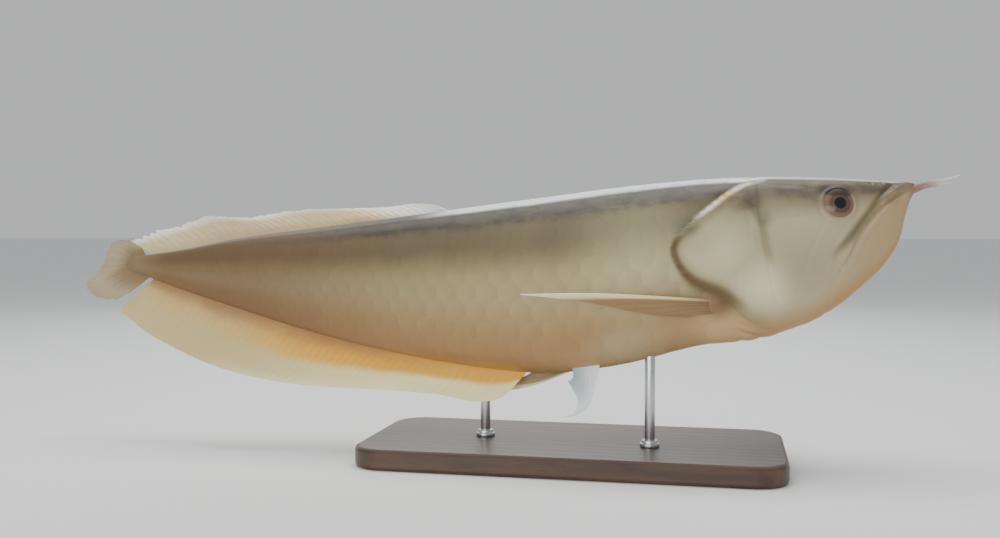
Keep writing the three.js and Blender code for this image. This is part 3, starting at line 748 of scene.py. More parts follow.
    # Painted highlight along the ridge of the back, and painted shade of the brow over the eye
    ridge_highlight = f.smooth(level + (blotch - 0.5) * 0.012 - 0.022 * head, 0.920, 0.952)
    ridge_highlight = ridge_highlight * (1 - 0.75 * f.smooth(level, 0.982, 0.994)) * (0.12 + 0.88 * f.smooth(x, -0.080, -0.030))
    coat.lay(ridge_highlight * (0.95 - 0.2 * head), skin.ridge_highlight)
    # Painted shade over the brow and the top of the eye
    brow_shade = f.smooth(z + (blotch - 0.5) * 0.004, 0.0500, 0.0545) * f.fade(z, 0.0585, 0.0635)
    coat.lay(brow_shade * spot(258, 55.5, 17, 0.6) * 0.92, tint(54, 47, 48))
    speckle = f.mix(f.noise(place, 900, 2), tint(90, 80, 66), tint(250, 246, 232))
    coat.lay(0.08, speckle, "OVERLAY")
    return coat.colour


def skin_finish(skin):
    f = Finish("arowana_skin", Coat_Roughness=0.22, IOR=1.4, Specular_IOR_Level=0.3)
    place = f.noted("place", "Vector")
    pores = f.cells(place, 420)
    grain = f.noise(place, 240, 4, 0.6)
    folds = f.noise(f.stretched(place, (0.6, 1, 1.6)), 90, 3)
    x, _, z = f.parts(place)
    ahead, above = x - FAN_CENTRE[0], z - FAN_CENTRE[1]
    reach = (ahead**2 + above**2) ** 0.5
    fan = f.noise(f.combine(above.math("ARCTAN2", ahead) * 9, reach * 30), 3, 3)
    on_cover = f.smooth(f.noted("cover"), 0.001, 0.008)
    normal = f.bump(grain * 0.5 + folds * 0.6 + pores * 0.25 + fan * on_cover * 0.9, 0.0005, 0.35)
    return f.done(
        Base_Color=markings_and_painted_light(f, skin), Roughness=0.36 + 0.22 * grain, Metallic=0.08 + 0.16 * on_cover,
        Coat_Weight=0.1, Normal=normal,
    )


def scale_finish(skin):
    f = Finish("arowana_scales", Coat_Roughness=0.2, IOR=1.4, Specular_IOR_Level=0.3)
    s, t, chance = f.parts(f.noted("scale", "Vector"))
    coat = Layers(f, markings_and_painted_light(f, skin))
    coat.lay(f.smooth(s, 0.70, 0.99) * 0.16, tint(220, 214, 194), "SOFT_LIGHT")
    coat.lay(f.fade(s, 0.25, 0.62) * 0.08, tint(130, 120, 98), "MULTIPLY")
    coat.lay(0.04, f.mix(chance, tint(110, 106, 96), tint(230, 228, 218)), "OVERLAY")
    rings = ((s * s + t * t * 0.7) ** 0.5 * 74).math("SINE")
    grain = f.noise(f.noted("place", "Vector"), 300, 3)
    return f.done(
        Base_Color=coat.colour, Roughness=0.36 + 0.16 * grain + 0.04 * chance,
        Metallic=0.12 + 0.16 * f.smooth(s, 0.35, 0.85), Coat_Weight=0.12,
        Normal=f.bump(rings * 0.08 + grain * 0.5, 0.0002, 0.25),
    )


# The skin

HEAD_RINGS = 235
BODY_RINGS = 110
CAP_RINGS = 10
WEDGE = 10.0
SKIN_SIDES = 266
HEAD_LENGTH = CHIN_X - 190
RELIEF_FROM = 120


def skin_stations():
    """x of every ring of the skin, finest at the chin, and the share of its size that it keeps."""
    front = CHIN_X - HEAD_LENGTH * (np.arange(HEAD_RINGS) / HEAD_RINGS) ** 1.25
    rear = np.linspace(front[-1] - 0.8, STALK_X, BODY_RINGS)
    cap = np.linspace(1, 0, CAP_RINGS + 1)
    nose = CHIN_X + 1.2 * (1 - cap[1:] ** 2) ** 0.5
    end = STALK_X - WEDGE * (1 - cap[1:])
    x = np.concatenate([nose[::-1], front, rear, end])
    keep = np.concatenate([cap[1:][::-1], np.ones(HEAD_RINGS + BODY_RINGS), cap[1:]])
    return x, keep


def scaled_share(points):
    """1 where the body wears scales, 0 on the head and at the tail fin's root."""
    x, z = points[..., 0], points[..., 2]
    flat = np.stack([x.ravel(), z.ravel()], axis=-1)
    bare = cover_depth(flat).reshape(x.shape)
    return smoothstep(neck_x(z) - x, -1, 3) * smoothstep(-bare, -4, 0) * smoothstep(x, -322, -312)


def note_paint_inputs(piece, points):
    """Keeps what the colours and painted light read: place, level and distances to the head's lines, in
    metres.
    """
    flat = points[:, [0, 2]]
    note(piece, "place", points * MM)
    note(piece, "level", level_of(points))
    note(piece, "cover", cover_depth(flat) * MM)
    for name, line in (("groove", MAXILLA), ("mouth", MOUTH), ("streak", COVER_EDGE_HIGHLIGHT), ("cheek", CHEEK_LINE)):
        note(piece, name, gap_to(flat, line, 40) * MM)


def skin_surface(stations, keep):
    """The skin's plain surface, ring by ring, and the way out from it."""
    held = np.clip(stations, STALK_X, CHIN_X)
    close = close_angles(-math.pi / 2, 4)
    even = np.linspace(0, 1, SKIN_SIDES + 1)
    turn = np.array([np.interp(even, share, close) for share in outline_shares(held, close)])
    surface = body_point(held[:, None], turn)
    middle = surface[:, :-1].mean(axis=1, keepdims=True)
    flat_end = np.where(stations < STALK_X, keep**0.4 * (1 + 0.25 * (1 - keep)), keep)
    surface = middle + (surface - middle) * np.stack([keep, keep, flat_end], axis=-1)[:, None, :]
    surface[..., 0] = stations[:, None]
    around = np.roll(surface[:, :-1], -1, axis=1) - np.roll(surface[:, :-1], 1, axis=1)
    around = np.concatenate([around, around[:, :1]], axis=1)
    outward = np.cross(around, np.gradient(surface, axis=0))
    outward /= np.maximum(np.linalg.norm(outward, axis=-1, keepdims=True), 1e-9)
    return surface, outward * np.sign(np.sum(outward * (surface - middle), axis=-1).mean())


class AROWANA_OT_skin(bpy.types.Operator):
    """Builds one skin over head, jaw, gill covers, trunk and tail"""

    bl_idname = "arowana.skin"
    bl_label = "Skin"

    def execute(self, context):
        settings = context.scene.arowana_skin
        stations, keep = skin_stations()
        last = len(stations) - 1
        piece, u, v = grid("skin", last, SKIN_SIDES)
        ring = np.rint(u * last).astype(int)
        column = np.rint(v * SKIN_SIDES).astype(int)
        surface, outward = skin_surface(stations, keep)
        flat = surface[..., [0, 2]].reshape(-1, 2)
        relief = np.zeros(len(flat))
        ahead = flat[:, 0] > RELIEF_FROM
        relief[ahead] = head_relief(flat[ahead]) * settings.relief
        relief = relief.reshape(surface.shape[:2]) - SKIN_INSET * scaled_share(surface)
        carved = surface + outward * (relief * keep[:, None])[..., None]
        set_vertices(piece, fish_to_frame(carved[ring, column]))
        note_paint_inputs(piece, surface[ring, column])
        unwrap(piece, "OFBake", u, v)
        tidy_shell(piece)
        finish_piece(piece, skin_finish(settings), FLESH, smooth=80)
        return {"FINISHED"}


# Scales

SCALE_LENGTH = 1.42
SCALE_HALF_WIDTH = 0.92
SCALE_THICK = 0.26
PATCH = 0.003
SCALE_REST = 0.25 - SKIN_INSET
TUCK = 2.2
LEAST_ROW = 3.4
ANGLE_STATIONS = 60


def scale_fields(rows, stretch):
    """x from the neck to the tail, how many scales lie ahead of it, and the height of a row there."""
    x = np.linspace(SCALES_FROM, STALK_X + 1, 500)
    height = outline_lengths(x, np.linspace(-math.pi / 2, math.pi / 2, 60))[:, -1] / rows
    spacing = stretch * np.maximum(height[1:], LEAST_ROW)
    return x, np.concatenate([[0], np.cumsum(-np.diff(x) / spacing)]), height


def angle_at(x, share):
    """The angle round the body at a share of the way from its back to its belly, by length."""
    turn = close_angles(-math.pi / 2, 2)[::-1]
    shares = outline_shares(np.linspace(SCALES_FROM, STALK_X, ANGLE_STATIONS), turn)
    last = ANGLE_STATIONS - 1
    place = np.clip((SCALES_FROM - x) / (SCALES_FROM - STALK_X) * last, 0, last - 0.001)
    found = np.zeros(x.shape)
    for k in range(last):
        mine = place.astype(int) == k
        first, second = (np.interp(share[mine], shares[end], turn) for end in (k, k + 1))
        found[mine] = first + (second - first) * (place[mine] - k)
    return found


def scale_roots(rows, x_line, field_line):
    """Field, row and x of every scale's root on one side, and how far it lies under the gill cover."""
    row, k = np.mgrid[0:rows, 0 : int(field_line[-1]) + 1].reshape(2, -1)
    field = k + 0.5 * (row % 2)
    x = np.interp(field, field_line, x_line)
    points = body_point(x, angle_at(x, (row + 0.5) / rows))
    bare = cover_depth(points[:, [0, 2]])
    worn = (bare < 18) & (x < neck_x(points[:, 2]) + 12) & (field < field_line[-1] - 1.5)
    return np.stack([field, row + 0.5, x], axis=-1)[worn], bare[worn]


class AROWANA_OT_scales(bpy.types.Operator):
    """Lays overlapping scales over the trunk and tail"""

    bl_idname = "arowana.scales"
    bl_label = "Scales"

    def execute(self, context):
        settings = context.scene.arowana_scales
        finish = scale_finish(context.scene.arowana_skin)
        rows = settings.rows
        x_line, field_line, height_line = scale_fields(rows, settings.stretch)
        random = np.random.default_rng(7)
        roots, bare = scale_roots(rows, x_line, field_line)
        stations, _ = skin_stations()
        for side_name, side in SIDES.items():
            piece, _, _ = grid(f"scales_{side_name}", 3, 6)
            plate = piece.modifiers.new("thickness", "SOLIDIFY")
            plate.thickness = 0.1
            plate.offset = -1
            copies = piece.modifiers.new("copies", "ARRAY")
            copies.count = len(roots)
            copies.relative_offset_displace = (0, 0, 3)
            apply_modifiers(piece)
            places = vertices(piece)
            each = len(places) // len(roots)
            number = np.repeat(np.arange(len(roots)), each)
            first = places[:each]
            under = np.tile(first[:, 2] < -0.05, len(roots))
            p = np.tile(np.clip(first[:, 0] + 0.5, 0, 1), len(roots))
            q = np.tile(np.sin(np.clip(first[:, 1], -0.5, 0.5) * math.pi), len(roots))
            chance = random.random((len(roots), 3))[number]

            rounded = 1 - 0.42 * np.abs(q) ** 2.4
            s = p * SCALE_LENGTH * rounded * (0.97 + 0.06 * chance[:, 0])
            t = q * SCALE_HALF_WIDTH * (1 - 0.30 * smoothstep(s, 0.75, SCALE_LENGTH))
            root_field, row, root_x = roots[number].T
            t = np.where(((row < 1) & (t < 0)) | ((row > rows - 1) & (t > 0)), t * 0.5, t)
            x = np.interp(np.minimum(root_field + s, field_line[-1]), field_line, x_line)
            angle = angle_at(x, np.clip((row + t) / rows, 0, 1))
            flat = body_point(x, angle)
            outward = body_point(x, angle, beyond=1.0) - flat
            outward[:, 0] = 0
            outward /= np.maximum(np.linalg.norm(outward, axis=1, keepdims=True), 1e-6)

            size = np.clip(np.interp(x, x_line[::-1], height_line[::-1]) / 12, 0.25, 1)
            rise = settings.lift / MM * (s / SCALE_LENGTH) - 0.12 * q**2
            rise = rise - 0.1 * smoothstep(s, 1.15, SCALE_LENGTH) + 0.06 * (chance[:, 1] - 0.5)
            rise = SCALE_REST + size * (rise - SCALE_THICK * under)
            rise = rise - TUCK * smoothstep(flat[:, 0] - neck_x(flat[:, 2]), -5, 2)
            rise = rise - SCALE_THICK * 0.4 * smoothstep(bare[number], 3, 10)
            place = flat + outward * rise[:, None]
            place[:, 1] *= -side
            set_vertices(piece, fish_to_frame(place))
            note_paint_inputs(piece, place)
            note(piece, "scale", np.stack([s / SCALE_LENGTH, t, chance[:, 2]], axis=-1))
            home_u = np.interp(-root_x, -stations, np.linspace(0, 1, len(stations)))
            home_v = 0.5 + side * 0.5 * row / rows
            unwrap(piece, "OFBake", home_u + (p - 0.5) * PATCH, home_v + q * 0.5 * PATCH)
            tidy_shell(piece, weld=False)
            finish_piece(piece, finish, smooth=50)
        return {"FINISHED"}


# Fins

LONG_FINS = {
    "dorsal_fin": {
        "rays": 44, "side": 1, "root": (-42, -303), "tip": (-58, -327), "trail": 14, "bow": 2.4,
        "margin": [
            (-58, 54.5), (-76, 57.5), (-104, 55), (-151, 52), (-195, 50.5), (-230, 43.5), (-262, 43.5),
            (-290, 35), (-308, 30), (-325, 20.5),
        ],
        "ripple": (3.2, 92, 0.6), "ragged": 0.08, "notch": 0.02,
        "paint": "dorsal", "slot": "fin", "seed": 3,
    },
    "anal_fin": {
        "rays": 52, "side": -1, "root": (27, -300), "tip": (14.5, -327), "trail": 17, "bow": 2.4,
        "margin": [
            (14.5, -97), (4, -104.6), (-53, -101.8), (-95, -100.4), (-138, -99.5), (-193, -95.5),
            (-239, -85.6), (-282, -69.6), (-305, -57.6), (-327, -41),
        ],
        "ripple": (3.6, 120, 2.1), "ragged": 0.006, "notch": 0.004,
        "paint": "anal", "slot": "gold_fin", "seed": 5,
    },
}
FAN_FINS = {
    "caudal_fin": {
        "rays": 15,
        "roots": [(-309, 0, 5), (-315, 0, 3.5), (-316.5, 0, -0.5), (-315, 0, -5), (-303, 0, -9.5)],
        "tips": [
            (-326, -3, 20), (-339, -3, 19.5), (-346, -1, 14), (-351, 2, 2), (-356, 3, -9), (-364, 1, -17),
            (-358, -2, -26), (-347, -3, -32), (-331, -2, -32),
        ],
        "bow": (0, 3, 3), "fade": 2.4, "ragged": 0.04, "notch": 0.02,
        "paint": "caudal", "thick": 0.9, "seed": 11,
    },
    "pectoral_fin_right": {
        "rays": 7,
        "roots": [(186, -20.5, -27.5), (183, -19.2, -32), (179, -17.5, -36.5)],
        "tips": [(30, -66, -34), (76, -50, -36), (104, -40, -39.5), (128, -32.5, -42), (150, -27, -42)],
        "bow": (0, -7, 0.6), "fade": 0.6, "ragged": 0.0, "notch": 0.004,
        "paint": "pectoral", "thick": 0.8, "seed": 13,
    },
    "pelvic_fin_right": {
        "rays": 6,
        "roots": [(85, -3.5, -73), (75, -3.5, -74), (62, -3.5, -75)],
        "tips": [(54, -11, -119.5), (65, -11, -115), (68.5, -10, -105), (60, -8, -90)],
        "bow": (9.5, -1, -9), "fade": 0.7, "ragged": 0.0, "notch": 0.004,
        "paint": "pelvic", "thick": 0.85, "seed": 17,
    },
    "pelvic_fin_left": {
        "rays": 4,
        "roots": [(80, 4.5, -73), (72, 4.5, -74), (63, 4.5, -75)],
        "tips": [(-14, 9, -98), (12, 9, -90), (30, 8.5, -81)],
        "bow": (0, 1, -6), "fade": 0.5, "ragged": 0.0, "notch": 0.004,
        "paint": "far_pelvic", "thick": 0.7, "seed": 19,
    },
}
RAY = (1.05, 0.26)
MEMBRANE = (0.42, 0.13)
FLARE = 1.1
FIN_SUNK = 2.2


def fin_finish(paint, fins, skin):
    """A finish for one kind of fin, from its place along the fin, from root to margin and over a ray."""
    f = Finish(f"arowana_{paint}_fin", Coat_Roughness=0.2, IOR=1.4, Specular_IOR_Level=0.3,
               Subsurface_Weight=0.12, Subsurface_Radius=(0.004, 0.003, 0.002), Subsurface_Scale=1.0)
    u, v, ray = f.parts(f.noted("fin", "Vector"))
    place = f.place()
    mottle = f.noise(place, 130, 4)
    combed = f.noise(f.combine(u * 60, v * 1.5), 2, 3)
    out = v + (f.noise(place, 34, 3) - 0.5) * 0.18
    coat = Layers(f, f.mix(ray * 0.35, fins.membrane, fins.ray))
    if paint == "dorsal":
        coat.lay(f.fade(out, 0.0, 0.45) * 0.7, fins.root)
        streak = f.smooth(combed, 0.40, 0.72) * f.fade(out, 0.6, 1.0) * f.smooth(u, 0.10, 0.30)
        coat.lay(streak * 0.35, tint(150, 122, 96))
        coat.lay(0.6 * f.smooth(u, 0.25, 0.6), tint(178, 164, 136))
        coat.lay(f.fade(u, 0.06, 0.30).most(f.smooth(out, 0.6, 1.0) * 0.7), tint(248, 246, 238))
    elif paint == "anal":
        forward = f.fade(u, 0.50, 0.82)
        coat.lay(forward * 0.85, tint(255, 240, 178))
        coat.lay(f.smooth(u, 0.15, 0.75) * 0.75, tint(174, 156, 110))
        coat.lay(f.fade(out, 0.36, 0.60) * (0.25 + 0.75 * forward), skin.gold)
        coat.lay(f.fade(out, 0.02, 0.34) * (0.15 + 0.7 * f.smooth(u, 0.1, 0.5)), tint(140, 100, 64))
        coat.lay(f.smooth(out, 0.78, 1.0) * 0.4 * forward, tint(255, 246, 214))
    elif paint == "caudal":
        coat.lay(f.smooth(combed, 0.42, 0.70) * 0.3, tint(132, 122, 104))
        coat.lay(f.smooth(out, 0.78, 1.0) * 0.6, tint(216, 188, 168))
        coat.lay(0.72, tint(116, 111, 100))
        coat.lay(f.fade(out, 0.20, 0.66) * 0.95, tint(128, 108, 80))
    elif paint == "pectoral":
        # Painted shade of the pectoral fin's underside behind its leading ray
        underside_shade = f.smooth(u, 0.10, 0.24)
        coat.lay(underside_shade * 0.9, fins.pectoral_shade)
        coat.lay(underside_shade * f.smooth(combed, 0.45, 0.7) * 0.15, tint(168, 134, 98))
        # Painted highlight along the leading ray
        coat.lay(f.fade(u, 0.03, 0.14) * f.smooth(v, 0.30, 0.95), tint(248, 243, 226))
        # Painted shade at the fin's root
        coat.lay(f.fade(v, 0.08, 0.34) * 0.85, tint(108, 80, 56))
    elif paint == "pelvic":
        # Painted shade: bluish white turning blue-grey towards the trailing edge
        coat = Layers(f, f.mix(f.smooth(u, 0.40, 1.0), fins.blue, tint(168, 186, 198)))
        coat.lay(f.fade(u, 0.05, 0.42), tint(255, 254, 250))
        coat.lay(f.fade(v, 0.0, 0.22) * 0.5, tint(226, 206, 176))
    else:
        # Painted shade over the far pelvic fin behind the body; its leading ray stays pale
        coat.lay(0.85, tint(122, 100, 82))
        coat.lay(f.fade(u, 0.15, 0.50), tint(240, 224, 194))
    joints = (v * 190).math("SINE")
    normal = f.bump(ray * 0.5 + joints * 0.10 * ray + mottle * 0.3 + combed * 0.3, 0.0003, 0.35)
    return f.done(Base_Color=coat.colour, Roughness=0.4 + 0.2 * mottle, Coat_Weight=0.08, Normal=normal)


def fin_sheet(name, fin, rows, root, tip, bend):
    """A thin closed fin whose rays stand up from its membrane, fork towards the margin and end ragged."""
    rays = fin["rays"]
    thick = fin.get("thick", 1.0)
    piece, u, v = grid(name, (rays - 1) * 8, rows)
    random = np.random.default_rng(fin["seed"])
    ragged = fin["ragged"] * (0.3 + 0.7 * u)
    phase = u * (rays - 1)
    nearest = np.rint(phase).astype(int)
    offset = phase - nearest
    fork = 0.17 * smoothstep(v, 0.42, 0.95)
    width = 0.15 - 0.05 * v
    ray = swell(np.abs(offset) - fork, width, 1)
    uneven = random.random(rays)
    shorter = ragged * np.interp(phase, np.arange(rays), uneven)
    torn = ragged * 1.3 * (random.random(rays)[np.clip(np.floor(phase).astype(int), 0, rays - 1)] > 0.7)
    gap = (fin["notch"] + torn) * (1 - swell(offset, 0.34, 1))
    reach = v * (1 - (shorter + gap) * smoothstep(v, 0.2, 1))
    places = root(u) + (tip(u) - root(u)) * reach[:, None] + bend(u, reach)
    set_vertices(piece, fish_to_frame(places))
    half_ray = RAY[0] + (RAY[1] - RAY[0]) * v
    half_skin = MEMBRANE[0] + (MEMBRANE[1] - MEMBRANE[0]) * v
    raised = ray * smoothstep(v, 0.10, 0.36)
    half = (half_skin + (half_ray - half_skin) * raised + swell(v, 0.07, FLARE)) * thick
    largest = float(half.max())
    group = piece.vertex_groups.new(name="thickness")
    for index, weight in enumerate(half / largest):
        group.add([index], float(weight), "REPLACE")
    note(piece, "fin", np.stack([u, v, ray], axis=-1))
    only(piece)
    skin = piece.modifiers.new("thickness", "SOLIDIFY")
    skin.thickness = 2 * largest * MM
    skin.offset = 0
    skin.vertex_group = "thickness"
    apply_modifiers(piece)
    piece.vertex_groups.clear()
    tidy_shell(piece, weld=False)
    return piece


def long_fin_lines(fin):
    """The root, the margin and the bend of a long fin, as functions of the share along it."""
    side = fin["side"]
    size, length, start = fin["ripple"]

    def between(ends, u):
        return ends[0] + (ends[1] - ends[0]) * u

    def root(u):
        x = between(fin["root"], u)
        return np.stack([x, 0 * x, ridge_height(x, side) - side * FIN_SUNK], axis=-1)

    def tip(u):
        x = between(fin["tip"], u) - fin["trail"] * np.sin(math.pi * u)
        return np.stack([x, 0 * x, through(fin["margin"], x)[:, 0]], axis=-1)

    def bend(u, v):
        wave = np.sin(2 * math.pi * between(fin["root"], u) / length + start) * size * v**1.6
        arch = fin["bow"] * np.sin(math.pi * v) * np.sin(math.pi * u)
        return np.stack([arch * 0.6, wave, side * arch], axis=-1)

    return root, tip, bend


def fan_fin_lines(fin):
    """The root, the margin and the bend of a fan-shaped fin, as functions of the share along it."""
    mirror = np.array((1, fin.get("flip", 1), 1))

    def root(u):
        return along(fin["roots"], u) * mirror

    def tip(u):
        return along(fin["tips"], u) * mirror

    def bend(u, v):
        share = np.sin(math.pi * np.clip(v, 0, 1) ** 1.3) * (1 - fin["fade"] * u)
        return np.array(fin["bow"]) * mirror * share[:, None]

    return root, tip, bend


def build_fins(context, fins, rows, lines):
    """Builds the fins of a table, with one finish for each paint."""
    finishes = {}
    for name, fin in fins.items():
        piece = fin_sheet(name + "_dressed", fin, rows, *lines(fin))
        paint = fin["paint"]
        if paint not in finishes:
            finishes[paint] = fin_finish(paint, context.scene.arowana_fins, context.scene.arowana_skin)
        finish_piece(piece, finishes[paint], (name,))
    return {"FINISHED"}


class AROWANA_OT_long_fins(bpy.types.Operator):
    """Builds the long dorsal and anal fins"""

    bl_idname = "arowana.long_fins"
    bl_label = "Dorsal and anal fins"

    def execute(self, context):
        return build_fins(context, LONG_FINS, 26, long_fin_lines)


class AROWANA_OT_fan_fins(bpy.types.Operator):
    """Builds the tail fin and the paired pectoral and pelvic fins"""

    bl_idname = "arowana.fan_fins"
    bl_label = "Tail and paired fins"

    def execute(self, context):
        mirrored = {**FAN_FINS["pectoral_fin_right"], "flip": -1, "seed": 14}
        return build_fins(context, {**FAN_FINS, "pectoral_fin_left": mirrored}, 40, fan_fin_lines)


# Eyes and barbels


def eye_finish(settings):
    f = Finish("arowana_eye", Coat_Roughness=0.12, IOR=1.4, Specular_IOR_Level=0.2)
    place = f.noted("disc", "Vector")
    across, up, radius = f.parts(place)
    spokes = f.noise(f.combine(up.math("ARCTAN2", across) * 2.6, radius * 2), 3.2, 4, 0.7)
    blur = f.noise(place, 2.6, 3) - 0.5
    iris = Layers(f, f.mix(spokes * 0.6, settings.iris, tint(98, 70, 56)))
    iris.lay(f.smooth(radius + blur * 0.12, 0.46, 0.78) * 0.85, settings.rim)
    iris.lay(f.smooth(radius, 0.34, 0.39) * f.fade(radius, 0.40, 0.50) * 0.2, tint(126, 92, 64))
    pupil = f.fade(radius, 0.32, 0.375)
    iris.lay(pupil, settings.pupil)
    shade = f.smooth(up + blur * 0.25, 0.28, 0.58)
    iris.lay(shade * 0.85, tint(44, 38, 40))
    rough = 0.3 + 0.25 * spokes * (1 - pupil) + 0.2 * shade
    return f.done(Base_Color=iris.colour, Roughness=rough, Coat_Weight=0.6 * (1 - 0.9 * shade))


class AROWANA_OT_eyes(bpy.types.Operator):
    """Builds the two eyes"""

    bl_idname = "arowana.eyes"
    bl_label = "Eyes"

    def execute(self, context):
        finish = eye_finish(context.scene.arowana_eyes)
        deep = half_width(EYE["x"], EYE["z"]) + EYE["proud"] - EYE["half"]
        for side_name, side in SIDES.items():
            deselect()
            bpy.ops.mesh.primitive_uv_sphere_add(segments=64, ring_count=40, radius=1)
            piece = context.object
            piece.name = piece.data.name = f"eye_{side_name}_ball"
            across, up, out = vertices(piece).T
            disc = np.hypot(across, up)
            x = across * EYE["radius"]
            y = out * EYE["half"] * (1 + swell(disc, 0.45, 0.10))
            cos, sin = math.cos(EYE["turn"]), -side * math.sin(EYE["turn"])
            placed = np.stack([x * cos - y * sin, x * sin + y * cos, up * EYE["radius"]], axis=-1)
            set_vertices(piece, fish_to_frame(placed + (EYE["x"], side * deep, EYE["z"])))
            note(piece, "disc", np.stack([across, up, disc], axis=-1))
            tidy_shell(piece, weld=False)
            finish_piece(piece, finish, (f"eye_{side_name}",))
        return {"FINISHED"}


BARBEL = {
    "path": [(315, 2.2, 63.5), (327, 5, 68), (338, 9, 69.6), (348, 13, 72.2)],
    "radii": (2.9, 2.6, 2.0, 1.45, 1.05, 0.75, 0.45),
    "lift": 1.2,
}


def barbel_finish(settings):
    f = Finish("arowana_barbel", Coat_Roughness=0.2, Coat_Weight=0.25, IOR=1.4, Subsurface_Weight=0.1,
               Subsurface_Radius=(0.003, 0.002, 0.001), Subsurface_Scale=1.0)
    run = f.noted("along")
    grain = f.noise(f.place(), 700, 4)
    coat = Layers(f, f.mix(f.smooth(run, 0.1, 0.9), settings.barbel, settings.barbel_tip))
    coat.lay(f.smooth(grain, 0.45, 0.7) * 0.3, tint(120, 90, 82))
    normal = f.bump((run * 160).math("SINE") * 0.2 + grain, 0.0002, 0.4)
    return f.done(Base_Color=coat.colour, Roughness=0.4 + 0.15 * grain, Normal=normal)


class AROWANA_OT_barbels(bpy.types.Operator):
    """Builds the pair of chin barbels"""

    bl_idname = "arowana.barbels"
    bl_label = "Barbels"

    def execute(self, context):
        finish = barbel_finish(context.scene.arowana_eyes)
        last = len(BARBEL["path"]) - 1
        for side_name, side in SIDES.items():
            path = [
                (x, side * y, z + side * BARBEL["lift"] * k / last)
                for k, (x, y, z) in enumerate(BARBEL["path"])
            ]
            piece = tube(f"barbel_{side_name}_dressed", path, BARBEL["radii"], 20, 60)
            finish_piece(piece, finish, (f"barbel_{side_name}",), smooth=80)
        return {"FINISHED"}


# Stand


def wood_finish(settings):
    f = Finish("stand_wood", Coat_Weight=0.2, Coat_Roughness=0.15, IOR=1.45)
    place = f.place()
    warped = f.noise(f.stretched(place, (2, 6, 6)), 3, 3)
    rings = f.node(
        "ShaderNodeTexWave", {"wave_type": "BANDS", "bands_direction": "Y"},
        {"Vector": f.stretched(place, (0.12, 1, 1)), "Scale": 26.0, "Distortion": 7.0, "Detail": 3.0,
         "Detail Scale": 1.4},
        output="Fac",
    )
    fibre = f.noise(f.stretched(place, (12, 420, 420)), 4, 5, 0.65)
    pores = f.noise(f.stretched(place, (60, 900, 900)), 2, 2)
    coat = Layers(f, f.mix(rings * 0.7 + warped * 0.3, settings.wood, settings.grain))
    coat.lay(f.smooth(fibre, 0.45, 0.7) * 0.45, tint(34, 24, 20))
    coat.lay(f.smooth(pores, 0.62, 0.72) * 0.5, tint(22, 15, 12))
    normal = f.bump(fibre + rings * 0.3, 0.0003, 0.25)
    return f.done(Base_Color=coat.colour, Roughness=0.34 + 0.18 * fibre, Normal=normal)


def steel_finish(settings):
    f = Finish("stand_steel", Metallic=1.0, IOR=2.4)
    place = f.place()
    brushed = f.noise(f.stretched(place, (900, 900, 14)), 3, 4, 0.6)
    smear = f.noise(place, 60, 3)
    colour = f.mix(brushed * 0.35, settings.steel, tint(168, 170, 174))
    normal = f.bump(brushed, 0.00006, 0.3)
    return f.done(Base_Color=colour, Roughness=0.2 + 0.12 * brushed + 0.08 * smear, Normal=normal)


def turned_steel(name, finish, radius, depth, place, replaced=(), shape=None):
    """A turned steel piece with rounded edges, from a cylinder that shape may work on first."""
    deselect()
    bpy.ops.mesh.primitive_cylinder_add(vertices=64, radius=radius, depth=depth, location=place)
    piece = bpy.context.object
    piece.name = piece.data.name = name
    if shape:
        shape(piece)
    bevel = piece.modifiers.new("edge", "BEVEL")
    bevel.width = 0.0005
    bevel.segments = 3
    bevel.limit_method = "ANGLE"
    apply_modifiers(piece)
    piece.data.transform(piece.matrix_world)
    piece.matrix_world = Matrix.Identity(4)
    finish_piece(piece, finish, replaced, smooth=35)


def step_top(piece, rim, height, edge):
    """Raises a smaller step on the top face of a collar, and marks an edge on it."""
    bpy.ops.object.mode_set(mode="EDIT")
    bpy.ops.mesh.select_mode(type="FACE")
    bpy.ops.mesh.select_all(action="DESELECT")
    bpy.ops.object.mode_set(mode="OBJECT")
    for face in piece.data.polygons:
        face.select = face.normal.z > 0.9
    bpy.ops.object.mode_set(mode="EDIT")
    bpy.ops.mesh.inset(thickness=rim)
    bpy.ops.mesh.extrude_region_move(TRANSFORM_OT_translate={"value": (0, 0, height)})
    bpy.ops.mesh.inset(thickness=edge)
    bpy.ops.object.mode_set(mode="OBJECT")


class AROWANA_OT_stand(bpy.types.Operator):
    """Finishes the wooden base and builds the turned steel rods"""

    bl_idname = "arowana.stand"
    bl_label = "Stand"

    def execute(self, context):
        settings = context.scene.arowana_stand
        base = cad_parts["stand_base"]
        base.data.materials.clear()
        base.data.materials.append(wood_finish(settings))
        steel = steel_finish(settings)
        for name in ("stand_rod_front", "stand_rod_rear"):
            low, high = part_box(name)
            radius = (high.x - low.x) / 2
            middle = (low + high) / 2
            turned_steel(
                name + "_turned", steel, radius, high.z - low.z + 0.001,
                (middle.x, middle.y, middle.z + 0.0002), (name,),
            )
            turned_steel(
                name.replace("rod", "collar"), steel, radius * 1.9, 0.003,
                (middle.x, middle.y, low.z + 0.0012),
                shape=lambda piece, size=radius: step_top(piece, size * 0.35, 0.0022, size * 0.2),
            )
        return {"FINISHED"}


# Stage

# Name, place, size, share of the light's power and colour of each lamp
LAMPS = (
    ("overhead", (-0.1, 0.15, 1.5), (1.6, 0.9), 1.65, (1, 0.99, 0.97)),
    ("front", (-0.4, -1.6, 0.36), (1.7, 0.8), 0.95, (1, 0.965, 0.90)),
    ("behind", (-0.4, 1.5, 0.8), (1.4, 0.7), 0.45, (0.94, 0.98, 1)),
)
AMBIENT = 0.72
TARGET = Vector((FISH_X * MM, 0, SWIM_HEIGHT * MM))
LENS = 37.8


